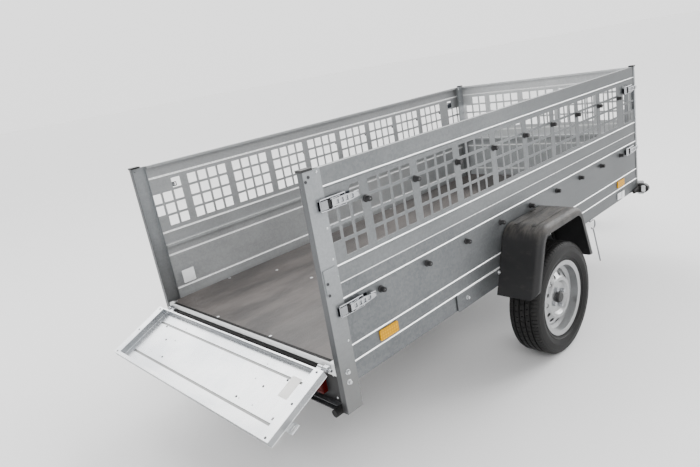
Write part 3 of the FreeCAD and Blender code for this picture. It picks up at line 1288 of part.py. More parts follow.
# === write
doc.recompute()
for item in doc.Objects:
    if "Invalid" in item.State or "Error" in item.State:
        raise RuntimeError("%s did not build: %s" % (item.Label, item.State))
os.makedirs("parts", exist_ok=True)
for item in PARTS:
    if item.Shape.isNull() or not item.Shape.isValid():
        raise RuntimeError("%s has no valid shape" % item.Label)
    item.Shape.exportStep("parts/%s.step" % item.Label)
print("%d sub-parts written" % len(PARTS))
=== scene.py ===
import math

import bpy
from mathutils import Matrix, Vector


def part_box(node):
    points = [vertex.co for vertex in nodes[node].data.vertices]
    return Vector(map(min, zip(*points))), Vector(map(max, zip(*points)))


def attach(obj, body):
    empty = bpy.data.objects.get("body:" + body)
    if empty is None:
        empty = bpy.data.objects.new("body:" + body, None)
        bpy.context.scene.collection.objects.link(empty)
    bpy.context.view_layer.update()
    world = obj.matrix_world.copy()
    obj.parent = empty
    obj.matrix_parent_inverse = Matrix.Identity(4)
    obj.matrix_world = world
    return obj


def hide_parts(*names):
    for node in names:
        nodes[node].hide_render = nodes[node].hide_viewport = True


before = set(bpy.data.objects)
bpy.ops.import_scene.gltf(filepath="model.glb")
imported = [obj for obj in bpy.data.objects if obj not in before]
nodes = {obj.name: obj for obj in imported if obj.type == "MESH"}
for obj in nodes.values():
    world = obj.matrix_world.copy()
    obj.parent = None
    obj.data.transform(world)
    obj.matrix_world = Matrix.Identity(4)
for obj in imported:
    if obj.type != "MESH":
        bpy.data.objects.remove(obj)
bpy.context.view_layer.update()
scene = bpy.context.scene
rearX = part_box("rear_posts")[0][0]  # rear face of the box: places along the trailer are counted from it
bothSides = (-1, 1)  # right and left of the middle
namedSides = ((1, "left"), (-1, "right"))
print("frame loaded:", len(nodes), "nodes")


# shader maths: a signal is a socket, and sums on signals add their Math nodes
class Signal:
    def __init__(self, tree, socket=None):
        self.tree = tree
        self.socket = socket

    def node(self, kind, settings=None, out=0, **values):
        made = self.tree.nodes.new("ShaderNode" + kind)
        for key, value in (settings or {}).items():
            if key == "stops":
                stops = made.color_ramp.elements
                while len(stops) < len(value):
                    stops.new(0.5)
                for stop, (place, colour) in zip(stops, value):
                    stop.position = place
                    stop.color = (*colour, 1)
            else:
                setattr(made, key, value)
        for key, value in values.items():
            numbered = key[:2] == "in" and key[2:].isdigit()  # in0 is the first socket
            socket = made.inputs[int(key[2:]) if numbered else key.replace("_", " ")]
            if isinstance(value, Signal):
                self.tree.links.new(value.socket, socket)
            else:
                socket.default_value = value
        return Signal(self.tree, made.outputs[out])

    def maths(self, operation, *others):
        values = {"in%d" % (i + 1): other for i, other in enumerate(others)}
        return self.node("Math", {"operation": operation}, in0=self, **values)

    def __add__(self, other):
        return self.maths("ADD", other)

    def __radd__(self, other):
        return self.maths("ADD", other)

    def __sub__(self, other):
        return self.maths("SUBTRACT", other)

    def __rsub__(self, other):
        return self.node("Math", {"operation": "SUBTRACT"}, in0=other, in1=self)

    def __mul__(self, other):
        return self.maths("MULTIPLY", other)

    def __rmul__(self, other):
        return self.maths("MULTIPLY", other)

    def size(self):
        return self.maths("ABSOLUTE")

    def part(self, index):
        return self.node("SeparateXYZ", out=index, Vector=self)

    def along(self, direction):
        return self.node("VectorMath", {"operation": "DOT_PRODUCT"}, out=1, in0=self, in1=direction)

    def mix(self, low, high):
        return self.node("Mix", {"data_type": "RGBA"}, out=2, in0=self, in6=low, in7=high)

    def ramp(self, stops):
        return self.node("ValToRGB", {"stops": stops}, Fac=self)

    def between(self, low, high):  # 0 below low, 1 above high
        return self.node("MapRange", {"interpolation_type": "SMOOTHSTEP"}, Value=self,
                         From_Min=low, From_Max=high)


def newMaterial(name, **values):
    made = bpy.data.materials.new(name)
    made.use_nodes = True
    shader = made.node_tree.nodes["Principled BSDF"]
    for key, value in values.items():
        shader.inputs[key.replace("_", " ")].default_value = value
    place = Signal(made.node_tree).node("TexCoord", out=3)  # object coordinates
    return made, shader, place


def drive(shader, **signals):
    for key, signal in signals.items():
        signal.tree.links.new(signal.socket, shader.inputs[key.replace("_", " ")])


def stretched(place, x, y, z):
    return place.node("Mapping", Vector=place, Scale=(x, y, z))


def noise(place, scale, detail=3, roughness=0.5):
    return place.node("TexNoise", Vector=place, Scale=scale, Detail=detail, Roughness=roughness)


def cells(place, scale):  # each cell has its own shade
    return place.node("TexVoronoi", out=1, Vector=place, Scale=scale).part(0)


def bump(height, distance, strength, normal=None):
    values = {"Height": height, "Distance": distance, "Strength": strength}
    if normal:
        values["Normal"] = normal
    return height.node("Bump", **values)


# zinc on sheet metal: sizes are in metres, heights above the ground
plainZinc = {"pale": (0.205, 0.214, 0.219, 1), "dark": (0.095, 0.102, 0.108, 1), "grain": 110,
             "metallic": 0.75, "roughness": 0.32, "unevenGloss": (0.07, 0.12, 0.25),
             "spangles": 0.3, "rolling": 0.35, "clouds": 0.45, "darker": 0.05,
             "dust": (0.20, 0.19, 0.175, 1), "dusty": 0.55, "dustFrom": 0.05, "dustTop": 0.52,
             "wave": 0.006, "pits": 0.00015}
sideZinc = dict(plainZinc, outerSides=0.646, outerFront=2.696, outerEdge=0.0004, innerMetallic=0.45,
                innerPale=(0.43, 0.44, 0.445, 1), innerDark=(0.27, 0.278, 0.283, 1),
                # line is the colour of the painted highlights along the beads
                beads=(0.5045, 0.5675, 0.7465), line=(0.95, 0.96, 0.96, 1), lineEdge=(0.0034, 0.0056),
                lineInside=0.004, lineFiner=1.1, pressed=(0.502, 0.565, 0.744),
                pressedEdge=(0.0025, 0.005), proud=0.003,
                ahead=(0.7, 2.4, 0.65, (0.065, 0.070, 0.073, 1)))
meshZinc = dict(sideZinc, pale=(0.225, 0.234, 0.239, 1), dark=(0.125, 0.133, 0.138, 1),
                innerPale=(0.34, 0.35, 0.355, 1), innerDark=(0.24, 0.245, 0.25, 1),
                beads=(0.802, 0.8655, 1.1425), pressed=(0.863, 1.140))
frontZinc = dict(sideZinc, innerPale=(0.56, 0.58, 0.59, 1), innerDark=(0.36, 0.375, 0.385, 1),
                 innerMetallic=0.35)
frontMeshZinc = dict(frontZinc, innerPale=(0.70, 0.715, 0.72, 1), innerDark=(0.50, 0.515, 0.525, 1),
                     beads=meshZinc["beads"], pressed=meshZinc["pressed"])
postZinc = dict(plainZinc, pale=(0.34, 0.355, 0.365, 1), dark=(0.22, 0.232, 0.242, 1), grain=150,
                foot=(0.40, 0.95, (0.145, 0.145, 0.140, 1)), rear=(0.0016, (0.055, 0.057, 0.060, 1)))
brightZinc = dict(plainZinc, pale=(0.82, 0.83, 0.84, 1), dark=(0.40, 0.415, 0.43, 1), grain=200,
                  metallic=0.95, roughness=0.20, dust=(0.40, 0.38, 0.35, 1), dustTop=0.5)
# painted light: the sill gets a near-white, barely metallic copy of bright zinc to light it up where it
# sits in shade
litSillZinc = dict(brightZinc, pale=(0.93, 0.94, 0.94, 1), dark=(0.84, 0.85, 0.86, 1), metallic=0.05,
                roughness=0.35, dustTop=0.3)
gateZinc = dict(brightZinc, pale=(0.97, 0.975, 0.98, 1), dark=(0.62, 0.64, 0.66, 1), dustTop=0.2,
                pin=(-0.008, 0, 0.498), gateUp=(-0.91914, 0, -0.39394), gateOut=(-0.39394, 0, 0.91914),
                patch=(0.56, 0.59, 0.63, 1), grooves=(0.0868, 0.2628), grooveEdge=(0.0044, 0.00605),
                # groove and wall are colours of painted shade
                grooveEnds=(0.540, 0.546), groove=(0.17, 0.172, 0.168, 1),
                walls=(0.0096, 0.0350), wallEdge=0.001, wall=(0.24, 0.25, 0.26, 1))
chromeZinc = dict(plainZinc, pale=(0.62, 0.63, 0.64, 1), dark=(0.30, 0.31, 0.33, 1), grain=420,
                  metallic=0.95, roughness=0.12, dust=(0.35, 0.34, 0.32, 1), dustTop=0.3)
latchZinc = dict(chromeZinc, depth=(0.6535, 0.6655, (0.035, 0.040, 0.050, 1)))
wireZinc = dict(chromeZinc, pale=(0.34, 0.34, 0.35, 1), dark=(0.14, 0.14, 0.15, 1), roughness=0.25)


def outerFaces(place, values):  # 1 on the outside of the box, also where a bead stands proud
    height, far = place.part(2), rearX + values["outerFront"]
    pressed = sum(1 - (height - middle).size().between(*values["pressedEdge"])
                  for middle in values["pressed"])
    proud, edge, wide = pressed * values["proud"], values["outerEdge"], values["outerSides"]
    sides = (place.part(1).size() - proud).between(wide - edge, wide + edge)
    return sides.maths("MAXIMUM", (place.part(0) - proud).between(far - edge, far + edge))


def beadHighlights(height, outer, values):  # painted highlight along each bead, on the inside a little lower down
    lowered = (1 - outer) * values["lineInside"]
    finer = 1 + outer * values["lineFiner"]
    return sum(1 - ((height - bead + lowered).size() * finer).between(*values["lineEdge"])
               for bead in values["beads"])


def gatePatchesAndShade(place, colour, values):  # bluish patches, and painted shade in two grooves and on the walls of the open gate
    pin = Vector(values["pin"]) + Vector((rearX, 0, 0))
    up, out = (place.along(line) - pin.dot(Vector(line)) for line in (values["gateUp"], values["gateOut"]))
    patch = noise(stretched(place, 1.6, 1.1, 1.6), 3.1, detail=4, roughness=0.6).between(0.40, 0.66)
    colour = (patch * 0.55).mix(colour, values["patch"])
    inside = 1 - place.part(1).size().between(*values["grooveEnds"])
    for middle in values["grooves"]:
        shadedGroove = 1 - (up - middle).size().between(*values["grooveEdge"])
        colour = (shadedGroove * inside * 0.95).mix(colour, values["groove"])
    (low, high), edge = values["walls"], values["wallEdge"]
    wall = out.between(low, low + edge) * (1 - out.between(high - edge, high))
    return (wall * 0.8).mix(colour, values["wall"])


def zincSheet(name, values):
    made, shader, place = newMaterial(name, Metallic=values["metallic"])
    height = place.part(2)
    spangle = cells(place, values["grain"])
    rolled = noise(stretched(place, 1.2, 45, 45), 1.0)
    cloud = noise(place, 2.4, detail=4, roughness=0.6).between(0.28, 0.72)
    tone = spangle * values["spangles"] + rolled * values["rolling"] + cloud * values["clouds"]
    tone = tone - values["darker"]
    colour = tone.mix(values["dark"], values["pale"])
    if "beads" in values:  # painted light and shade: the inside gets a lighter colour than the outside, and the outside gets painted shade towards the front
        outer = outerFaces(place, values)
        # painted shade on the outside, darker towards the front
        near, far, share, shade = values["ahead"]
        outside = (place.part(0).between(rearX + near, rearX + far) * share).mix(colour, shade)
        colour = outer.mix(tone.mix(values["innerDark"], values["innerPale"]), outside)
    if "foot" in values:  # painted shade: the foot of a post is darker and greyer than its top
        low, high, grey = values["foot"]
        colour = ((1 - height.between(low, high)) * (0.55 + cloud * 0.35)).mix(colour, grey)
    if "rear" in values:  # the narrow rear face lies in its own shade
        reach, shade = values["rear"]
        behind = 1 - place.part(0).between(rearX + reach, rearX + reach * 2)
        colour = (behind * 0.8).mix(colour, shade)
    if "depth" in values:  # painted shade deep in the latches
        deep, shallow, shade = values["depth"]
        colour = place.part(1).size().between(deep, shallow).mix(shade, colour)
    speck = noise(place, 55, detail=4, roughness=0.7).between(0.42, 0.75)
    dusty = (1 - height.between(values["dustFrom"], values["dustTop"])) * speck
    colour = (dusty * values["dusty"]).mix(colour, values["dust"])
    if "grooves" in values:
        colour = gatePatchesAndShade(place, colour, values)
    bySpangle, byCloud, byDust = values["unevenGloss"]
    roughness = values["roughness"] + spangle * bySpangle + cloud * byCloud + dusty * byDust
    # painted highlights on the beads: the line colour, less rough and less metallic
    if "beads" in values:
        bright = beadHighlights(height, outer, values)
        colour = bright.mix(colour, values["line"])
        roughness = roughness - bright * 0.18
        metallic = outer * (values["metallic"] - values["innerMetallic"]) + values["innerMetallic"]
        drive(shader, Metallic=metallic * (1 - bright * 0.6))
    wavy = noise(stretched(place, 1.6, 3.5, 3.5), 1.3, detail=1)
    fine = noise(place, 420, detail=2)
    drive(shader, Base_Color=colour, Roughness=roughness,
          Normal=bump(wavy, values["wave"], 0.55, bump(fine, values["pits"], 0.35)))
    return made


heavyZincValues = {"pale": (0.50, 0.51, 0.52, 1), "dark": (0.30, 0.31, 0.33, 1), "roughness": 0.5,
                   "metallic": 0.75, "patch": 65, "runs": 0.0012, "pits": 0.0002}


def heavyZinc(name, values):  # hot dipped: large cells, clouds and runs down the metal
    made, shader, place = newMaterial(name, Metallic=values["metallic"])
    patch = cells(place, values["patch"])
    cloud = noise(place, 9, detail=5, roughness=0.65)
    runs = noise(stretched(place, 14, 14, 2), 2, detail=4)
    tone = patch * 0.4 + cloud * 0.55 + runs * 0.25 - 0.12
    pits = bump(noise(place, 300, detail=2), values["pits"], 0.4)
    drive(shader, Base_Color=tone.mix(values["dark"], values["pale"]),
          Roughness=values["roughness"] + patch * 0.08 + cloud * 0.15,
          Normal=bump(cloud + runs * 0.4, values["runs"], 0.5, pits))
    return made


plywoodValues = {"dark": (0.016, 0.0135, 0.0125, 1), "pale": (0.118, 0.104, 0.097, 1),
                 "scuff": (0.20, 0.19, 0.18, 1), "roughness": 0.36, "mesh": 190,
                 "meshDeep": 0.0009, "grainDeep": 0.0012}


def filmPlywood(name, values):  # a brown film with a wire mesh pressed into it, scuffed along its length
    made, shader, place = newMaterial(name)
    grain = noise(stretched(place, 2.2, 26, 26), 1.6, detail=5, roughness=0.6)
    cloud = noise(stretched(place, 0.8, 1.6, 1), 2.6, detail=5, roughness=0.7)
    patch = noise(stretched(place, 1.1, 3.4, 1), 1.9).between(0.42, 0.58)
    tone = grain * 0.34 + cloud.between(0.34, 0.66) * 0.42 + patch * 0.26 - 0.04
    wire = place.node("TexVoronoi", {"distance": "MANHATTAN"}, Vector=place, Scale=values["mesh"])
    scuff = noise(stretched(place, 3, 11, 11), 4, detail=6, roughness=0.75).between(0.60, 0.78)
    colour = (scuff * 0.5).mix(tone.mix(values["dark"], values["pale"]), values["scuff"])
    drive(shader, Base_Color=colour,
          Roughness=values["roughness"] + patch * 0.12 + cloud * 0.12 + scuff * 0.2,
          Normal=bump(wire, values["meshDeep"], 0.5, bump(grain, values["grainDeep"], 0.4)))
    return made


rubberValues = {"dark": (0.0042, 0.0042, 0.0045, 1), "pale": (0.0125, 0.0122, 0.0120, 1),
                "dust": (0.050, 0.046, 0.040, 1), "dusty": 0.5, "roughness": 0.52, "gloss": 0.2}
greyRubberValues = {"dark": (0.11, 0.11, 0.115, 1), "pale": (0.18, 0.18, 0.185, 1),
                    "dust": (0.27, 0.26, 0.24, 1), "dusty": 0.35, "roughness": 0.55, "gloss": 0.2}


def rubber(name, values):
    made, shader, place = newMaterial(name, Specular_IOR_Level=values["gloss"])
    cloud = noise(place, 14, detail=4, roughness=0.6)
    speck = noise(place, 60, detail=5, roughness=0.75).between(0.5, 0.8)
    colour = (speck * values["dusty"]).mix(cloud.mix(values["dark"], values["pale"]), values["dust"])
    drive(shader, Base_Color=colour, Roughness=values["roughness"] + speck * 0.2 + cloud * 0.08,
          Normal=bump(noise(place, 350), 0.0002, 0.5, bump(cloud, 0.0006, 0.3)))
    return made


plasticValues = {"dark": (0.010, 0.010, 0.0105, 1), "pale": (0.023, 0.023, 0.024, 1), "roughness": 0.38,
                 "gloss": 0.35, "grain": 700, "grainDeep": 0.0003, "dust": (0.075, 0.070, 0.064, 1)}
fenderPlastic = dict(plasticValues, gloss=0.25, topDust=(0.62, 0.69, (0.125, 0.113, 0.10, 1)))


def mouldedPlastic(name, values):
    made, shader, place = newMaterial(name, Specular_IOR_Level=values["gloss"])
    leather = place.node("TexVoronoi", Vector=place, Scale=values["grain"])
    cloud = noise(place, 7, detail=4, roughness=0.6)
    dust = noise(stretched(place, 5, 5, 12), 3, detail=6, roughness=0.7).between(0.52, 0.85)
    colour = (dust * 0.35).mix(cloud.mix(values["dark"], values["pale"]), values["dust"])
    if "topDust" in values:  # road dust lies on what faces up
        low, high, grey = values["topDust"]
        streak = noise(stretched(place, 9, 30, 9), 1.4, detail=4, roughness=0.7).between(0.3, 0.7)
        colour = (place.part(2).between(low, high) * streak * 0.6).mix(colour, grey)
    drive(shader, Base_Color=colour, Roughness=values["roughness"] + cloud * 0.14 + dust * 0.18,
          Normal=bump(leather, values["grainDeep"], 0.5, bump(cloud, 0.002, 0.25)))
    return made


silverValues = {"dark": (0.30, 0.305, 0.31, 1), "pale": (0.42, 0.425, 0.43, 1), "roughness": 0.29,
                "dust": (0.12, 0.11, 0.10, 1), "metallic": 0.88, "lacquer": 0.25, "flake": 1500}


def silverPaint(name, values):
    made, shader, place = newMaterial(name, Metallic=values["metallic"], Coat_Weight=values["lacquer"],
                                      Coat_Roughness=0.15)
    flake = cells(place, values["flake"])
    cloud = noise(place, 12, detail=4, roughness=0.6)
    dust = noise(place, 40, detail=5, roughness=0.75).between(0.5, 0.82)
    colour = (flake * 0.3 + cloud * 0.7).mix(values["dark"], values["pale"])
    drive(shader, Base_Color=(dust * 0.35).mix(colour, values["dust"]),
          Roughness=values["roughness"] + flake * 0.06 + dust * 0.25,
          Normal=bump(noise(place, 220), 0.00015, 0.3))
    return made


darkSteelValues = {"dark": (0.030, 0.031, 0.034, 1), "pale": (0.075, 0.077, 0.082, 1),
                   "dust": (0.16, 0.145, 0.12, 1), "metallic": 0.35, "roughness": 0.42}


def darkSteel(name, values):
    made, shader, place = newMaterial(name, Metallic=values["metallic"])
    cloud = noise(place, 16, detail=5, roughness=0.65)
    dust = noise(place, 45, detail=5, roughness=0.75).between(0.5, 0.8)
    drive(shader, Base_Color=(dust * 0.4).mix(cloud.mix(values["dark"], values["pale"]), values["dust"]),
          Roughness=values["roughness"] + cloud * 0.2 + dust * 0.15,
          Normal=bump(noise(place, 260), 0.0003, 0.4, bump(cloud, 0.001, 0.3)))
    return made


redLens = {"deep": (0.035, 0.001, 0.001, 1), "bright": (0.10, 0.003, 0.002, 1), "ribs": 160, "glow": 0.0}
amberLens = {"deep": (0.46, 0.21, 0.0, 1), "bright": (0.76, 0.40, 0.0, 1), "ribs": 160, "glow": 0.0}
clearLens = {"deep": (0.66, 0.67, 0.68, 1), "bright": (0.93, 0.94, 0.95, 1), "ribs": 220, "glow": 0.1}


def lens(name, values):  # a grid of small facets behind the face of the lens
    made, shader, place = newMaterial(name, Roughness=0.35, Specular_IOR_Level=0.12,
                                      Emission_Strength=values["glow"])
    across = (place.part(0) + place.part(1)) * values["ribs"]
    up = place.part(2) * values["ribs"]
    facets = across.maths("PINGPONG", 1.0) * up.maths("PINGPONG", 1.0)
    colour = (facets * 0.8 + noise(place, 30) * 0.2).mix(values["deep"], values["bright"])
    drive(shader, Base_Color=colour, Emission_Color=colour, Normal=bump(facets, 0.001, 0.4))
    return made


labelValues = {"pale": (0.80, 0.81, 0.82, 1), "dark": (0.66, 0.67, 0.68, 1), "roughness": 0.38}
paperValues = dict(labelValues, pale=(0.95, 0.94, 0.91, 1), dark=(0.86, 0.84, 0.80, 1))


def blankLabel(name, values):
    made, shader, place = newMaterial(name, Coat_Weight=0.25, Coat_Roughness=0.2)
    cloud = noise(place, 25, detail=4, roughness=0.6)
    rub = noise(stretched(place, 40, 40, 160), 1, detail=5, roughness=0.7).between(0.55, 0.85)
    fibres = bump(noise(place, 500, detail=2), 0.0001, 0.3)
    drive(shader, Base_Color=(rub * 0.5 + cloud * 0.3).mix(values["pale"], values["dark"]),
          Roughness=values["roughness"] + cloud * 0.15 + rub * 0.2,
          Normal=bump(cloud, 0.0008, 0.3, fibres))
    return made


finishes = {
    "sheet": zincSheet("galvanised sheet", sideZinc),
    "postSheet": zincSheet("galvanised posts", postZinc),
    "meshSheet": zincSheet("galvanised mesh sheet", meshZinc),
    "frontSheet": zincSheet("galvanised front sheet", frontZinc),
    "frontMesh": zincSheet("galvanised front mesh", frontMeshZinc),
    "latch": zincSheet("chromed latches", latchZinc),
    "chrome": zincSheet("chromed hinges", chromeZinc),
    "sill": zincSheet("rear sill", litSillZinc),
    "gate": zincSheet("tailgate sheet", gateZinc),
    "wire": zincSheet("bent rod", wireZinc),
    "bright": zincSheet("bright zinc", brightZinc),
    "heavy": heavyZinc("heavy galvanising", heavyZincValues),
    "plywood": filmPlywood("film faced plywood", plywoodValues),
    "rubber": rubber("tyre rubber", rubberValues),
    "greyRubber": rubber("grey rubber", greyRubberValues),
    "plastic": mouldedPlastic("black moulded plastic", plasticValues),
    "fender": mouldedPlastic("fender plastic", fenderPlastic),
    "silver": silverPaint("silver wheel paint", silverValues),
    "darkSteel": darkSteel("dark coated steel", darkSteelValues),
    "red": lens("red lens", redLens),
    "amber": lens("amber lens", amberLens),
    "clear": lens("clear lens", clearLens),
    "label": blankLabel("blank plates", labelValues),
    "paper": blankLabel("blank paper", paperValues),
}
nodeFinishes = {
    "sheet": ["side_panel_left", "side_panel_right", "side_plates"],
    "frontSheet": ["front_panel"],
    "frontMesh": ["mesh_panel_front"],
    "meshSheet": ["mesh_panel_left", "mesh_panel_right"],
    "latch": ["corner_latches"],
    "chrome": ["hinge_lugs", "hinge_knuckles"],
    "sill": ["rear_sill"],
    "gate": ["tailgate_panel"],
    "wire": ["side_hook"],
    "postSheet": ["rear_posts", "rear_mesh_posts", "front_posts", "front_mesh_posts",
                  "splice_plates", "marker_brackets"],
    "heavy": ["rail_left", "rail_right", "cross_members", "axle_tube", "axle_brackets",
              "drawbar_left", "drawbar_right", "jockey_clamp", "coupling_head"],
    "bright": ["gate_catches", "jockey_tube", "jockey_crank", "jockey_fork", "jockey_stem"],
    "plywood": ["floor_board"],
    "rubber": ["tyre_left", "tyre_right", "rear_buffers"],
    "silver": ["rim_left", "rim_right", "jockey_rim"],
    "darkSteel": ["swing_arm_left", "swing_arm_right", "hub_left", "hub_right", "rear_bar"],
    "fender": ["fender_left", "fender_right"],
    "plastic": ["post_caps", "hub_cap_left", "hub_cap_right", "coupling_lever", "light_board",
                "marker_lamps", "rope_knobs_left", "rope_knobs_right", "rope_knobs_front"],
    "greyRubber": ["jockey_tyre"],
    "red": ["tail_lamps"],
    "amber": ["side_reflectors"],
}
for finish, names in nodeFinishes.items():
    for name in names:
        for slot in nodes[name].material_slots:
            slot.material = finishes[finish]
missing = set(nodes) - {name for names in nodeFinishes.values() for name in names}
print("finishes given to the frame, left out:", sorted(missing))


# new pieces are shaped in edit mode, as by hand
def at(x, y, z):  # millimetres forward of the rear face, left of the middle and above the ground
    return Vector((rearX + x / 1000, y / 1000, z / 1000))


def alone(piece):
    bpy.ops.object.select_all(action="DESELECT")
    piece.select_set(True)
    bpy.context.view_layer.objects.active = piece


def begin(name, add, **values):
    bpy.ops.object.select_all(action="DESELECT")
    add(**values)
    piece = bpy.context.object
    piece.name = piece.data.name = name
    bpy.ops.object.transform_apply(location=True, rotation=True, scale=True)
    return piece


def rod(name, radius, high, vertices):  # stands on the ground
    return begin(name, bpy.ops.mesh.primitive_cylinder_add, vertices=vertices, radius=radius, depth=high,
                 location=(0, 0, high / 2))


straight = 0.9  # a facing or a line counts as along an axis from here


def everything(place, facing):
    return True


def upward(place, facing):
    return facing.z > straight


def bothEnds(place, facing):
    return abs(facing.z) > straight


def upright(place, line):
    return abs(line.z) > straight


def pick(piece, test, kind="FACE"):  # a face is tested by place and facing, an edge by place and line
    alone(piece)
    bpy.ops.object.mode_set(mode="EDIT")
    bpy.ops.mesh.select_mode(type=kind)
    bpy.ops.mesh.select_all(action="DESELECT")
    bpy.ops.object.mode_set(mode="OBJECT")
    mesh = piece.data
    if kind == "FACE":
        for face in mesh.polygons:
            face.select = bool(test(face.center, face.normal))
    else:
        for edge in mesh.edges:
            low, high = (mesh.vertices[index].co for index in edge.vertices)
            edge.select = bool(test((low + high) / 2, (high - low).normalized()))
    bpy.ops.object.mode_set(mode="EDIT")


def leave():
    bpy.ops.object.mode_set(mode="OBJECT")


def bevelled(piece, test, width, segments=2):
    pick(piece, test, "EDGE")
    bpy.ops.mesh.bevel(offset=width, segments=segments, affect="EDGES")
    leave()


def insetSteps(piece, test, steps):  # each step is how far in, and how far out of the face
    pick(piece, test)
    for inwards, outwards in steps:
        bpy.ops.mesh.inset(thickness=inwards, depth=outwards)
    leave()


def cutAcross(piece, height):
    pick(piece, everything)
    bpy.ops.mesh.bisect(plane_co=(0, 0, height), plane_no=(0, 0, 1))
    leave()


def pressedIn(piece, test, depth):
    pick(piece, test)
    bpy.ops.mesh.extrude_region_shrink_fatten(TRANSFORM_OT_shrink_fatten={"value": -depth})
    leave()


def joinedAs(name, parts):
    bpy.ops.object.select_all(action="DESELECT")
    for part in parts:
        part.select_set(True)
    bpy.context.view_layer.objects.active = parts[0]
    if len(parts) > 1:
        bpy.ops.object.join()
    parts[0].name = parts[0].data.name = name
    return parts[0]


def aimed(place, facing, spin=0.0):  # carries a piece drawn on the ground, facing up, to its place
    turn = Vector(facing).to_track_quat("Z", "Y").to_matrix().to_4x4()
    return Matrix.Translation(place) @ turn @ Matrix.Rotation(spin, 4, "Z")


def copies(source, name, moves):
    made = []
    for move in moves:
        twin = bpy.data.objects.new(name, source.data.copy())
        twin.data.transform(move)
        scene.collection.objects.link(twin)
        made.append(twin)
    return joinedAs(name, made)


mergeGap = 0.00002  # corners nearer than this become one


def finished(piece, finish, body="chassis", angle=35):
    alone(piece)
    bpy.ops.object.mode_set(mode="EDIT")
    bpy.ops.mesh.select_all(action="SELECT")
    bpy.ops.mesh.remove_doubles(threshold=mergeGap)
    bpy.ops.mesh.normals_make_consistent(inside=False)
    leave()
    bpy.ops.object.shade_smooth_by_angle(angle=math.radians(angle))
    piece.data.materials.clear()
    piece.data.materials.append(finishes[finish])
    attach(piece, body)
    return piece


def placed(source, name, moves, finish, body="chassis"):
    return finished(copies(source, name, moves), finish, body)


def takenAway(*sources):
    for source in sources:
        bpy.data.objects.remove(source)


# tyres: a drum whose tread is cut into ribs, with slots, and whose walls are drawn in ring by ring
tyreValues = {"place": (1287, 752.5, 273.5), "radius": 0.2733, "half": 0.055, "facets": 180,
              "grooves": (-0.0405, -0.0135, 0.0135, 0.0405), "grooveWide": 0.007, "grooveDeep": 0.0068,
              "slotWide": 0.0014, "slotDeep": 0.0045, "treadFrom": 0.27, "slotsFrom": 0.25,
              "slotBands": ((0.0465, 0.071, 2, 0), (-0.071, -0.0465, 2, 1), (0.0195, 0.0345, 3, 1),
                            (-0.0345, -0.0195, 3, 0), (-0.0075, 0.0075, 3, 2)),
              "wall": ((0.0016, 0.0050), (0.0030, 0.0050), (0.0055, 0.0050), (0.0100, 0.0042),
                       (0.0006, 0.0009), (0.0040, 0.0004), (0.0006, -0.0007), (0.0105, 0.0026),
                       (0.0110, 0.0006), (0.0005, 0.0005), (0.0018, 0.0), (0.0005, -0.0006),
                       (0.0110, -0.0022), (0.0100, -0.0045), (0.0005, 0.0007), (0.0030, -0.0002),
                       (0.0006, -0.0012), (0.0060, -0.0050), (0.0070, -0.0020), (0.0020, -0.0060),
                       (0.0120, -0.0015))}


def meridian(place, line):  # true for an edge that runs across the tyre
    return abs(line.y * place.x - line.x * place.y) < 0.02 * place.xy.length


def tyreSection(values):
    half, facets = values["half"], values["facets"]
    tyre = begin("tyre", bpy.ops.mesh.primitive_cylinder_add, vertices=facets, radius=values["radius"],
                 depth=2 * half)
    cuts = [groove + side * values["grooveWide"] / 2 for groove in values["grooves"] for side in bothSides]
    cuts += [end for low, high, every, start in values["slotBands"] for end in (low, high)]
    for cut in cuts:
        if abs(cut) < half:
            cutAcross(tyre, cut)
    insetSteps(tyre, bothEnds, values["wall"])
    pick(tyre, lambda place, facing: bothEnds(place, facing) and place.xy.length < 0.01)
    bpy.ops.mesh.delete(type="FACE")  # the two middles go, and the walls are joined inside
    bpy.ops.mesh.select_mode(type="EDGE")
    bpy.ops.mesh.select_non_manifold()
    bpy.ops.mesh.bridge_edge_loops()
    leave()
    for low, high, every, start in values["slotBands"]:
        def slotEdge(place, line):
            index = round(math.atan2(place.y, place.x) / (2 * math.pi) * facets)
            return low < place.z < high and index % every == start % every \
                and place.xy.length > values["slotsFrom"] and meridian(place, line)
        pick(tyre, slotEdge, "EDGE")
        bpy.ops.mesh.bevel(offset=values["slotWide"], segments=1, affect="EDGES")
        bpy.ops.mesh.select_mode(type="FACE")
        bpy.ops.mesh.extrude_region_shrink_fatten(
            TRANSFORM_OT_shrink_fatten={"value": -values["slotDeep"]})
        leave()

    def grooveFloor(place, facing):
        nearest = min(abs(place.z - groove) for groove in values["grooves"])
        return abs(facing.z) < 0.3 and place.xy.length > values["treadFrom"] \
            and nearest < values["grooveWide"] * 0.49
    pressedIn(tyre, grooveFloor, values["grooveDeep"])
    return tyre


tyreDrawn = tyreSection(tyreValues)
for side, word in namedSides:
    x, y, z = tyreValues["place"]
    tyre = copies(tyreDrawn, "treadTyre_" + word, [aimed(at(x, side * y, z), (0, side, 0))])
    finished(tyre, "rubber", "wheel_" + word, angle=30)
    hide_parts("tyre_" + word)
takenAway(tyreDrawn)
print("tyres made:", len(tyre.data.polygons), "faces each")

# heads of bolts, rivets and screws: shares of a head's width and height
headValues = {"corner": 0.577, "washer": 0.22, "chamfer": 0.05, "crown": 0.12, "edge": 0.02,
              "washerEdge": 0.3, "domeFoot": 0.4, "dome": ((0.14, 0.28), (0.24, 0.22), (0.28, 0.09)),
              "socketFoot": 0.5, "socket": ((0.12, 0.3), (0.25, 0.2), (0.15, 0), (0.02, -0.7))}


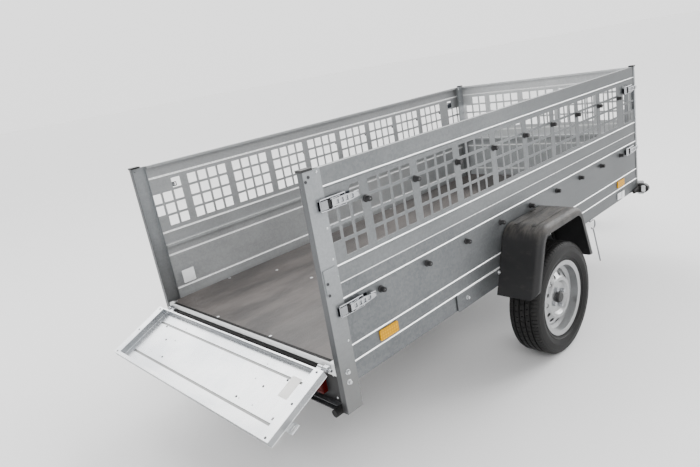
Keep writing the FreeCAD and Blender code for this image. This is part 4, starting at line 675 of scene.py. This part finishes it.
def hexHead(name, across, high, washer):
    foot = high * headValues["washer"]
    head = begin(name, bpy.ops.mesh.primitive_cylinder_add, vertices=6,
                 radius=across * headValues["corner"], depth=high, location=(0, 0, foot + high / 2))
    insetSteps(head, upward, [(across * headValues["chamfer"], 0)])
    pick(head, lambda place, facing: upward(place, facing) and place.xy.length < 0.0001)
    bpy.ops.transform.translate(value=(0, 0, high * headValues["crown"]))
    leave()
    bevelled(head, upright, across * headValues["edge"], 1)
    plate = rod(name, washer, foot, 28)
    bevelled(plate, lambda place, line: place.z > foot * 0.9, foot * headValues["washerEdge"])
    return joinedAs(name, [head, plate])


def roundHead(name, radius, high, kind="dome", vertices=20):  # a dome, or one with a round socket
    head = rod(name, radius, high * headValues[kind + "Foot"], vertices)
    insetSteps(head, upward, [(radius * inwards, high * outwards)
                              for inwards, outwards in headValues[kind]])
    return head


# wheel bolts and a valve on each wheel
wheelValues = {"boltCircle": 49, "bolts": 4, "boltTurn": 0.35, "boltPlace": 786.5,
               "boltSize": (0.019, 0.012, 0.0125), "valveCircle": 150, "valvePlace": 770,
               "valveTurn": 2.2, "valveLean": 0.5, "valveSize": (0.006, 0.010),
               "valveSteps": ((0.0010, 0.0015), (0.0008, 0.0005), (0.0002, 0.010), (0.0006, 0.0006),
                              (-0.0008, 0.0004), (0.0002, 0.011), (0.0012, 0.0012))}
wheelBolt = hexHead("wheelBolt", *wheelValues["boltSize"])
valve = rod("valve", *wheelValues["valveSize"], 18)
insetSteps(valve, upward, wheelValues["valveSteps"])
for side, word in namedSides:
    x, y, z = tyreValues["place"]
    moves = []
    for index in range(wheelValues["bolts"]):
        turn = wheelValues["boltTurn"] + index * 2 * math.pi / wheelValues["bolts"]
        reach = wheelValues["boltCircle"]
        moves.append(aimed(at(x + reach * math.cos(turn), side * wheelValues["boltPlace"],
                              z + reach * math.sin(turn)), (0, side, 0), turn))
    placed(wheelBolt, "wheelBolts_" + word, moves, "heavy", "wheel_" + word)
    turn, reach, lean = (wheelValues[key] for key in ("valveTurn", "valveCircle", "valveLean"))
    place = at(x + reach * math.cos(turn), side * wheelValues["valvePlace"], z + reach * math.sin(turn))
    facing = (-lean * math.cos(turn), side, -lean * math.sin(turn))
    placed(valve, "wheelValve_" + word, [aimed(place, facing)], "rubber", "wheel_" + word)
takenAway(wheelBolt, valve)

# rivets, screws and bolts in the sheet metal: places are x and z, on the floor x and y
fixingValues = {
    "postRivets": ((61, 1194), (62, 1004), (62, 895), (67, 832), (61, 795), (62, 593)),
    "frontRivets": ((2691, 1190), (2691, 1004), (2691, 895), (2691, 832), (2691, 787), (2691, 640),
                    (2691, 500)),
    "postBolts": ((33, 485), (32, 445)),
    "spliceScrews": ((18, 823), (17, 782)),
    "headScrews": ((24, 1186), (10, 1173)),
    "plateBolts": ((760, 467), (1814, 467)),
    "innerRivets": ((2634, 1190), (2634, 1100), (2634, 900), (2634, 760), (2634, 640), (2634, 540)),
    "floorScrews": ((36, 609), (360, 609), (1020, 609), (1690, 609), (2350, 609), (551, 432),
                    (1300, 432), (2050, 432), (34, 202), (551, 140), (1300, 140), (2050, 140),
                    (2640, 300)),
    "outside": 650, "onPlates": 653, "inside": 611, "floor": 516,
    "rivet": (0.0042, 0.0022), "bolt": (0.013, 0.0075, 0.0105), "floorScrew": (0.0075, 0.0025),
    "socketScrew": (0.0055, 0.003)}


def onSides(key, reach="outside"):  # the same places on both sides of the box, each head turned its own way
    return [aimed(at(x, side * fixingValues[reach], z), (0, side, 0), 0.3 * (x % 5))
            for x, z in fixingValues[key] for side in bothSides]


rivet = roundHead("rivet", *fixingValues["rivet"])
smallBolt = hexHead("smallBolt", *fixingValues["bolt"])
floorScrew = roundHead("floorScrew", *fixingValues["floorScrew"], vertices=24)
socketScrew = roundHead("socketScrew", *fixingValues["socketScrew"], "socket", 24)
placed(rivet, "sideRivets", onSides("postRivets") + onSides("frontRivets"), "bright")
placed(smallBolt, "sideBolts", onSides("postBolts") + onSides("plateBolts", "onPlates"),
       "bright")
placed(socketScrew, "spliceScrews", onSides("spliceScrews", "onPlates") + onSides("headScrews"),
       "darkSteel")
moves = [aimed(at(x, side * fixingValues["inside"], z), (0, -side, 0))
         for x, z in fixingValues["innerRivets"] for side in bothSides]
placed(rivet, "innerRivets", moves, "bright")
moves = [aimed(at(x, side * y, fixingValues["floor"]), (0, 0, 1), x)
         for x, y in fixingValues["floorScrews"] for side in bothSides]
placed(floorScrew, "floorScrews", moves, "bright")
takenAway(rivet, smallBolt, floorScrew, socketScrew)
print("fixings made")

# a dark strip along the sill under the floor's edge, a dark strip of painted shade on the sill's rear face,
# and black bits in the latches: place and size of each in millimetres
trimValues = {"strip": ((18, 0, 518.8), (14, 1180, 1.6)), "stripEdge": 0.0005, "channel": (0.0025, -0.0008),
              "shadeStrip": ((4.2, 0, 486), (3, 1130, 24)), "shadeStripEdge": 0.0008,
              "shadeStripSteps": ((0.006, 0), (0.0006, -0.0007)), "latchPlaces": (85, 2549),
              "latchHeights": (1083, 709), "latchFace": 655, "latchBit": (10, 9, 26),
              "latchEdge": 0.0012, "latchStep": (0.0016, -0.0012)}


def softBox(name, middle, size, width):  # a block with every edge rounded
    block = begin(name, bpy.ops.mesh.primitive_cube_add, size=1, location=middle,
                  scale=[length / 1000 for length in size])
    bevelled(block, everything, width)
    return block


place, size = trimValues["strip"]
strip = softBox("sillStrip", at(*place), size, trimValues["stripEdge"])
insetSteps(strip, upward, [trimValues["channel"]])
finished(strip, "rubber")
place, size = trimValues["shadeStrip"]  # a dark rubber strip on the rear of the sill is painted shade for the gap behind it
shadeStrip = softBox("sillShadeStrip", at(*place), size, trimValues["shadeStripEdge"])
insetSteps(shadeStrip, lambda place, facing: facing.x < -straight, trimValues["shadeStripSteps"])
finished(shadeStrip, "rubber")
latchBit = softBox("latchBit", (0, 0, 0), trimValues["latchBit"], trimValues["latchEdge"])
insetSteps(latchBit, lambda place, facing: abs(facing.y) > straight, [trimValues["latchStep"]])
moves = [Matrix.Translation(at(x, side * trimValues["latchFace"], z))
         for x in trimValues["latchPlaces"] for z in trimValues["latchHeights"] for side in bothSides]
placed(latchBit, "latchBits", moves, "plastic")
takenAway(latchBit)

# blank plates: place on the panel, then width and height
plateValues = {"outer": ((2404, 462, 0.040, 0.062), (2454, 458, 0.046, 0.050)), "outerFace": -650.2,
               "inner": (146, 616, 0.068, 0.068), "innerFace": 624.6,
               "gate": (-505, 118, 0.052, 0.090), "thick": 0.0006, "gateThick": 0.0004, "corner": 0.003}
quarterTurn = math.pi / 2


def roundedPlate(name, width, high, thick, corner, rim=0.0):  # lies on the ground, rounded corners
    plate = begin(name, bpy.ops.mesh.primitive_cube_add, size=1, location=(0, 0, thick / 2),
                  scale=(width, high, thick))
    bevelled(plate, upright, corner, 5)
    bevelled(plate, lambda place, line: place.z > thick * 0.9 and abs(line.z) < 0.1,
             min(thick * 0.4, 0.001))
    if rim:
        insetSteps(plate, upward, [(rim, 0), (rim * 0.3, -thick * 0.4)])
    return plate


def blankPlate(word, x, z, width, high, face):
    plate = roundedPlate("blankPlate", width, high, plateValues["thick"], plateValues["corner"])
    placed(plate, "blankPlate_" + word, [aimed(at(x, face, z), (0, -1, 0), quarterTurn)],
           "label")
    takenAway(plate)


for index, plateAt in enumerate(plateValues["outer"]):
    blankPlate(str(index + 1), *plateAt, plateValues["outerFace"])
blankPlate("inner", *plateValues["inner"], plateValues["innerFace"])

# windows of the lamps: place across and up, then width and height, an edge is its corner and its rim
lampValues = {"markerRear": (682, 430, 0.036, 0.018, 2703), "markerFront": (656, 430, 0.084, 0.036, 2729),
              "markerThick": 0.0022, "markerRearEdge": (0.004, 0.003), "markerFrontEdge": (0.006, 0.004),
              "tail": ((372, 0.070, "amber"), (430, 0.034, "clear"), (487, 0.074, "red")),
              "tailEdge": (0.005, 0.0035), "tailHeight": 415, "tailHigh": 0.074, "tailFace": 2,
              "tailThick": 0.0020, "board": 22, "screwSize": (0.0048, 0.0024),
              "boardScrews": ((580, 362), (580, 456), (300, 362), (300, 456), (100, 362), (100, 456))}


def acrossFacing(x, y, z, forward, spin=0.0):  # the same place left and right, facing ahead or behind
    return [aimed(at(x, side * y, z), (forward, 0, 0), spin) for side in bothSides]


y, z, width, high, face = lampValues["markerRear"]
window = roundedPlate("markerWindow", width, high, lampValues["markerThick"],
                      *lampValues["markerRearEdge"])
rearWindows = copies(window, "markerWindows", acrossFacing(face, y, z, -1, quarterTurn))
y, z, width, high, face = lampValues["markerFront"]
frontWindow = roundedPlate("markerWindow", width, high, lampValues["markerThick"],
                           *lampValues["markerFrontEdge"])
frontWindows = copies(frontWindow, "markerWindows", acrossFacing(face, y, z, 1, quarterTurn))
finished(joinedAs("markerWindows", [rearWindows, frontWindows]), "clear")
boardScrew = roundHead("boardScrew", *lampValues["screwSize"])
moves = [move for y, z in lampValues["boardScrews"] for move in acrossFacing(lampValues["board"], y, z, -1)]
placed(boardScrew, "boardScrews", moves, "bright")
takenAway(window, frontWindow, boardScrew)
for y, width, tint in lampValues["tail"]:
    window = roundedPlate("tailWindow", width, lampValues["tailHigh"], lampValues["tailThick"],
                          *lampValues["tailEdge"])
    moves = acrossFacing(lampValues["tailFace"], y, lampValues["tailHeight"], -1, quarterTurn)
    placed(window, "tailWindows_" + tint, moves, tint)
    takenAway(window)
print("trim and lamp windows made")

# tailgate: rivets along its ends, screws and a blank plate, placed on the open gate
gateValues = {"pin": (-8, 498), "droop": 113.2, "lip": 36.5, "ends": 597, "rivets": (40, 176, 312),
              "rivetSize": (0.0046, 0.0020), "sheet": 8.5, "screwSize": (0.0046, 0.0018),
              "screws": ((96.8, 470), (154.8, 385), (231.8, 300))}
gateTurn = -math.radians(gateValues["droop"])
gateFacing = (math.cos(gateTurn), 0, -math.sin(gateTurn))


def onGate(x, y, z):  # a place on the shut gate, carried to where it hangs open
    pinX, pinZ = gateValues["pin"]
    return aimed(at(pinX + x * math.cos(gateTurn) + z * math.sin(gateTurn), y,
                    pinZ - x * math.sin(gateTurn) + z * math.cos(gateTurn)), gateFacing)


gateRivet = roundHead("gateRivet", *gateValues["rivetSize"])
moves = [onGate(gateValues["lip"], side * gateValues["ends"], z)
         for z in gateValues["rivets"] for side in bothSides]
placed(gateRivet, "gateRivets", moves, "darkSteel", "tailgate")
gateScrew = roundHead("gateScrew", *gateValues["screwSize"], "socket", 24)
moves = [onGate(gateValues["sheet"], side * y, z) for z, y in gateValues["screws"] for side in bothSides]
placed(gateScrew, "gateScrews", moves, "darkSteel", "tailgate")
y, z, width, high = plateValues["gate"]
plate = roundedPlate("blankPlate", width, high, plateValues["gateThick"], plateValues["corner"])
placed(plate, "blankPlate_gate", [onGate(gateValues["sheet"], y, z)], "paper", "tailgate")
takenAway(gateRivet, gateScrew, plate)

# fenders: slots on top, bolts inside
fenderValues = {"slots": ((1341, 664), (1281, 687)), "top": 685, "slotSize": (0.052, 0.008, 0.0008),
                "slotCorner": 0.0035, "slotRim": 0.0012, "boltSize": (0.010, 0.005, 0.011),
                "bolts": ((1574, 488), (1010, 488), (1440, 640), (1140, 640)), "inside": 657,
                "boltTurn": 0.4}
slot = roundedPlate("fenderSlot", *fenderValues["slotSize"], fenderValues["slotCorner"],
                    fenderValues["slotRim"])
moves = [aimed(at(x, side * y, fenderValues["top"]), (0, 0, 1))
         for x, y in fenderValues["slots"] for side in bothSides]
placed(slot, "fenderSlots", moves, "rubber")
innerBolt = hexHead("fenderBolt", *fenderValues["boltSize"])
moves = [aimed(at(x, side * fenderValues["inside"], z), (0, side, 0), fenderValues["boltTurn"])
         for x, z in fenderValues["bolts"] for side in bothSides]
placed(innerBolt, "fenderBolts", moves, "bright")
takenAway(slot, innerBolt)

# jockey wheel grip: a turned handle with finger grooves over the crank's pin
gripValues = {"place": (3114, 0, 684), "radius": 0.0135, "long": 0.072, "rings": 12, "groove": 0.0012,
              "ends": ((0.0012, 0.0012), (0.0030, 0.0012)), "edge": 0.0004}
grip = rod("crankGrip", gripValues["radius"], gripValues["long"], 36)
step = gripValues["long"] / gripValues["rings"]
for index in range(1, gripValues["rings"]):
    cutAcross(grip, gripValues["long"] * index / gripValues["rings"])
pressedIn(grip, lambda place, facing: abs(facing.z) < 0.1 and int(place.z / step) % 2 == 1,
          gripValues["groove"])
insetSteps(grip, lambda place, facing: bothEnds(place, facing) and place.xy.length < 0.002,
           gripValues["ends"])
ringsFrom = gripValues["radius"] - gripValues["groove"] / 2
bevelled(grip, lambda place, line: abs(line.z) < 0.1 and place.xy.length > ringsFrom,
         gripValues["edge"], 1)
placed(grip, "jockeyGrip", [aimed(at(*gripValues["place"]), (0, 0, 1))], "plastic",
       "jockey_leg")
takenAway(grip)
print("tailgate, fender and jockey details made")

# rope knobs: a foot, a thick neck and a rounded head with a recess and a pin
knobValues = {"foot": (0.0140, 0.003), "start": 261.2, "pitch": 272.2, "count": 9, "rows": (1051, 708),
              "sheet": 647, "front": 2697, "frontPlaces": (408.3, 136.1), "pin": (0.0032, 0.0016),
              "tall": 21.4,
              "steps": ((0.0022, 0.0008), (0.0012, 0.0012), (0.0004, 0.0085), (-0.0020, 0.0016),
                        (-0.0018, 0.0012), (0.0001, 0.0050), (0.0012, 0.0020), (0.0026, 0.0009),
                        (0.0040, 0.0), (0.0005, -0.0040), (0.0016, 0.0), (0.0008, 0.0014))}


def sideKnobs(side, above=0.0):
    return [aimed(at(knobValues["start"] + index * knobValues["pitch"],
                     side * (knobValues["sheet"] + above), z), (0, side, 0))
            for z in knobValues["rows"] for index in range(knobValues["count"])]


def frontKnobs(above=0.0):
    return [move for z in knobValues["rows"] for y in knobValues["frontPlaces"]
            for move in acrossFacing(knobValues["front"] + above, y, z, 1)]


knob = rod("ropeKnob", *knobValues["foot"], 32)
insetSteps(knob, upward, knobValues["steps"])
for side, word in namedSides:
    row = placed(knob, "ropeKnobs_" + word, sideKnobs(side), "plastic")
    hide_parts("rope_knobs_" + word)
row = placed(knob, "ropeKnobs_front", frontKnobs(), "plastic")
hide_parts("rope_knobs_front")
pin = roundHead("knobPin", *knobValues["pin"], vertices=14)
tall = knobValues["tall"]
moves = sideKnobs(-1, tall) + sideKnobs(1, tall) + frontKnobs(tall)
placed(pin, "knobPins", moves, "bright")
takenAway(knob, pin)

# arms that carry the front marker lamps round the corners
armValues = {"middle": (2655, 656.5, 430), "size": (0.096, 0.012, 0.036), "tip": 0.55, "edge": 0.003,
             "recess": (0.004, -0.0015)}
for side, word in namedSides:
    x, y, z = armValues["middle"]
    arm = begin("markerArm_" + word, bpy.ops.mesh.primitive_cube_add, size=1, location=at(x, side * y, z),
                scale=armValues["size"])
    pick(arm, lambda place, facing: facing.x < -straight)
    bpy.ops.transform.resize(value=(1, 1, armValues["tip"]))
    leave()
    bevelled(arm, everything, armValues["edge"], 3)
    insetSteps(arm, lambda place, facing: facing.y * side > straight, [armValues["recess"]])
    finished(arm, "rubber")
print("knobs and lamp arms made")

# stage: a plain floor, a dome with two large soft boxes, and three lamps
stageValues = {"size": 400, "dark": (0.84, 0.84, 0.84, 1), "pale": (0.86, 0.86, 0.86, 1),
               "dome": ((0.0, (0.80, 0.80, 0.80)), (0.50, (0.92, 0.92, 0.92)), (0.75, (1.0, 1.0, 1.0))),
               "skyPower": 0.72, "sideGlow": 1.15, "plain": 2.1,
               "glows": (((0.80, -0.20, 0.52), 7.0), ((0.24, 0.72, 0.65), 4.5)), "glowEdge": (0.86, 0.95)}
bpy.ops.object.select_all(action="DESELECT")
bpy.ops.mesh.primitive_plane_add(size=stageValues["size"])
floor = bpy.context.object
floor.name = "studioFloor"
floorFinish, floorShader, floorPlace = newMaterial("pale floor", Roughness=0.8)
drive(floorShader, Base_Color=noise(floorPlace, 0.8).mix(stageValues["dark"], stageValues["pale"]))
floor.data.materials.append(floorFinish)

world = bpy.data.worlds.new("studioLight")
scene.world = world
world.use_nodes = True
sky = Signal(world.node_tree)
towards = sky.node("TexCoord", out=0)
dome = (towards.part(2) * 0.5 + 0.5).ramp(stageValues["dome"])
fromLeft = towards.part(1).between(-0.1, 0.45) * 0.6 + 0.4
strength = stageValues["skyPower"] \
    + fromLeft * (1 - towards.part(2).between(0.25, 0.5)) * stageValues["sideGlow"]
for direction, power in stageValues["glows"]:
    near = towards.along(Vector(direction).normalized())
    strength = strength + near.between(*stageValues["glowEdge"]) * power
seen = sky.node("LightPath", out=0)  # the camera sees a plain backdrop, the soft boxes stay out of sight
strength = seen * stageValues["plain"] + (1 - seen) * strength
background = world.node_tree.nodes["Background"]
world.node_tree.links.new(dome.socket, background.inputs["Color"])
world.node_tree.links.new(strength.socket, background.inputs["Strength"])

lightValues = {"keyLight": ((-5.5, -5.5, 5.5), (0, 0, 0.6), (5, 3), 320),  # place, aim, size, power
               "fillLight": ((5, -6, 3.5), (0, 0, 0.6), (4, 3), 80),
               "topLight": ((0, 1.5, 6.5), (0, 0, 0.5), (6, 4), 160)}
for name, (place, aim, size, power) in lightValues.items():
    lamp = bpy.data.lights.new(name, "AREA")
    lamp.shape = "RECTANGLE"
    lamp.size, lamp.size_y = size
    lamp.energy = power
    shown = bpy.data.objects.new(name, lamp)
    scene.collection.objects.link(shown)
    shown.location = place
    shown.rotation_euler = (Vector(aim) - Vector(place)).to_track_quat("-Z", "Y").to_euler()

cameraValues = {"place": (-1.0864, -2.0458, 1.4935), "lens": 29.33,
                "right": (0.70333628, -0.69090155, -0.16725169),
                "up": (0.31110919, 0.08762428, 0.94632608),
                "back": (-0.63916285, -0.71761901, 0.27657516)}
cameraData = bpy.data.cameras.new("studioCamera")
cameraData.lens = cameraValues["lens"]
camera = bpy.data.objects.new("studioCamera", cameraData)
scene.collection.objects.link(camera)
turn = Matrix([cameraValues[axis] for axis in ("right", "up", "back")]).transposed().to_4x4()
camera.matrix_world = Matrix.Translation(Vector(cameraValues["place"]) + Vector((rearX, 0, 0))) @ turn
scene.camera = camera
print("stage ready")
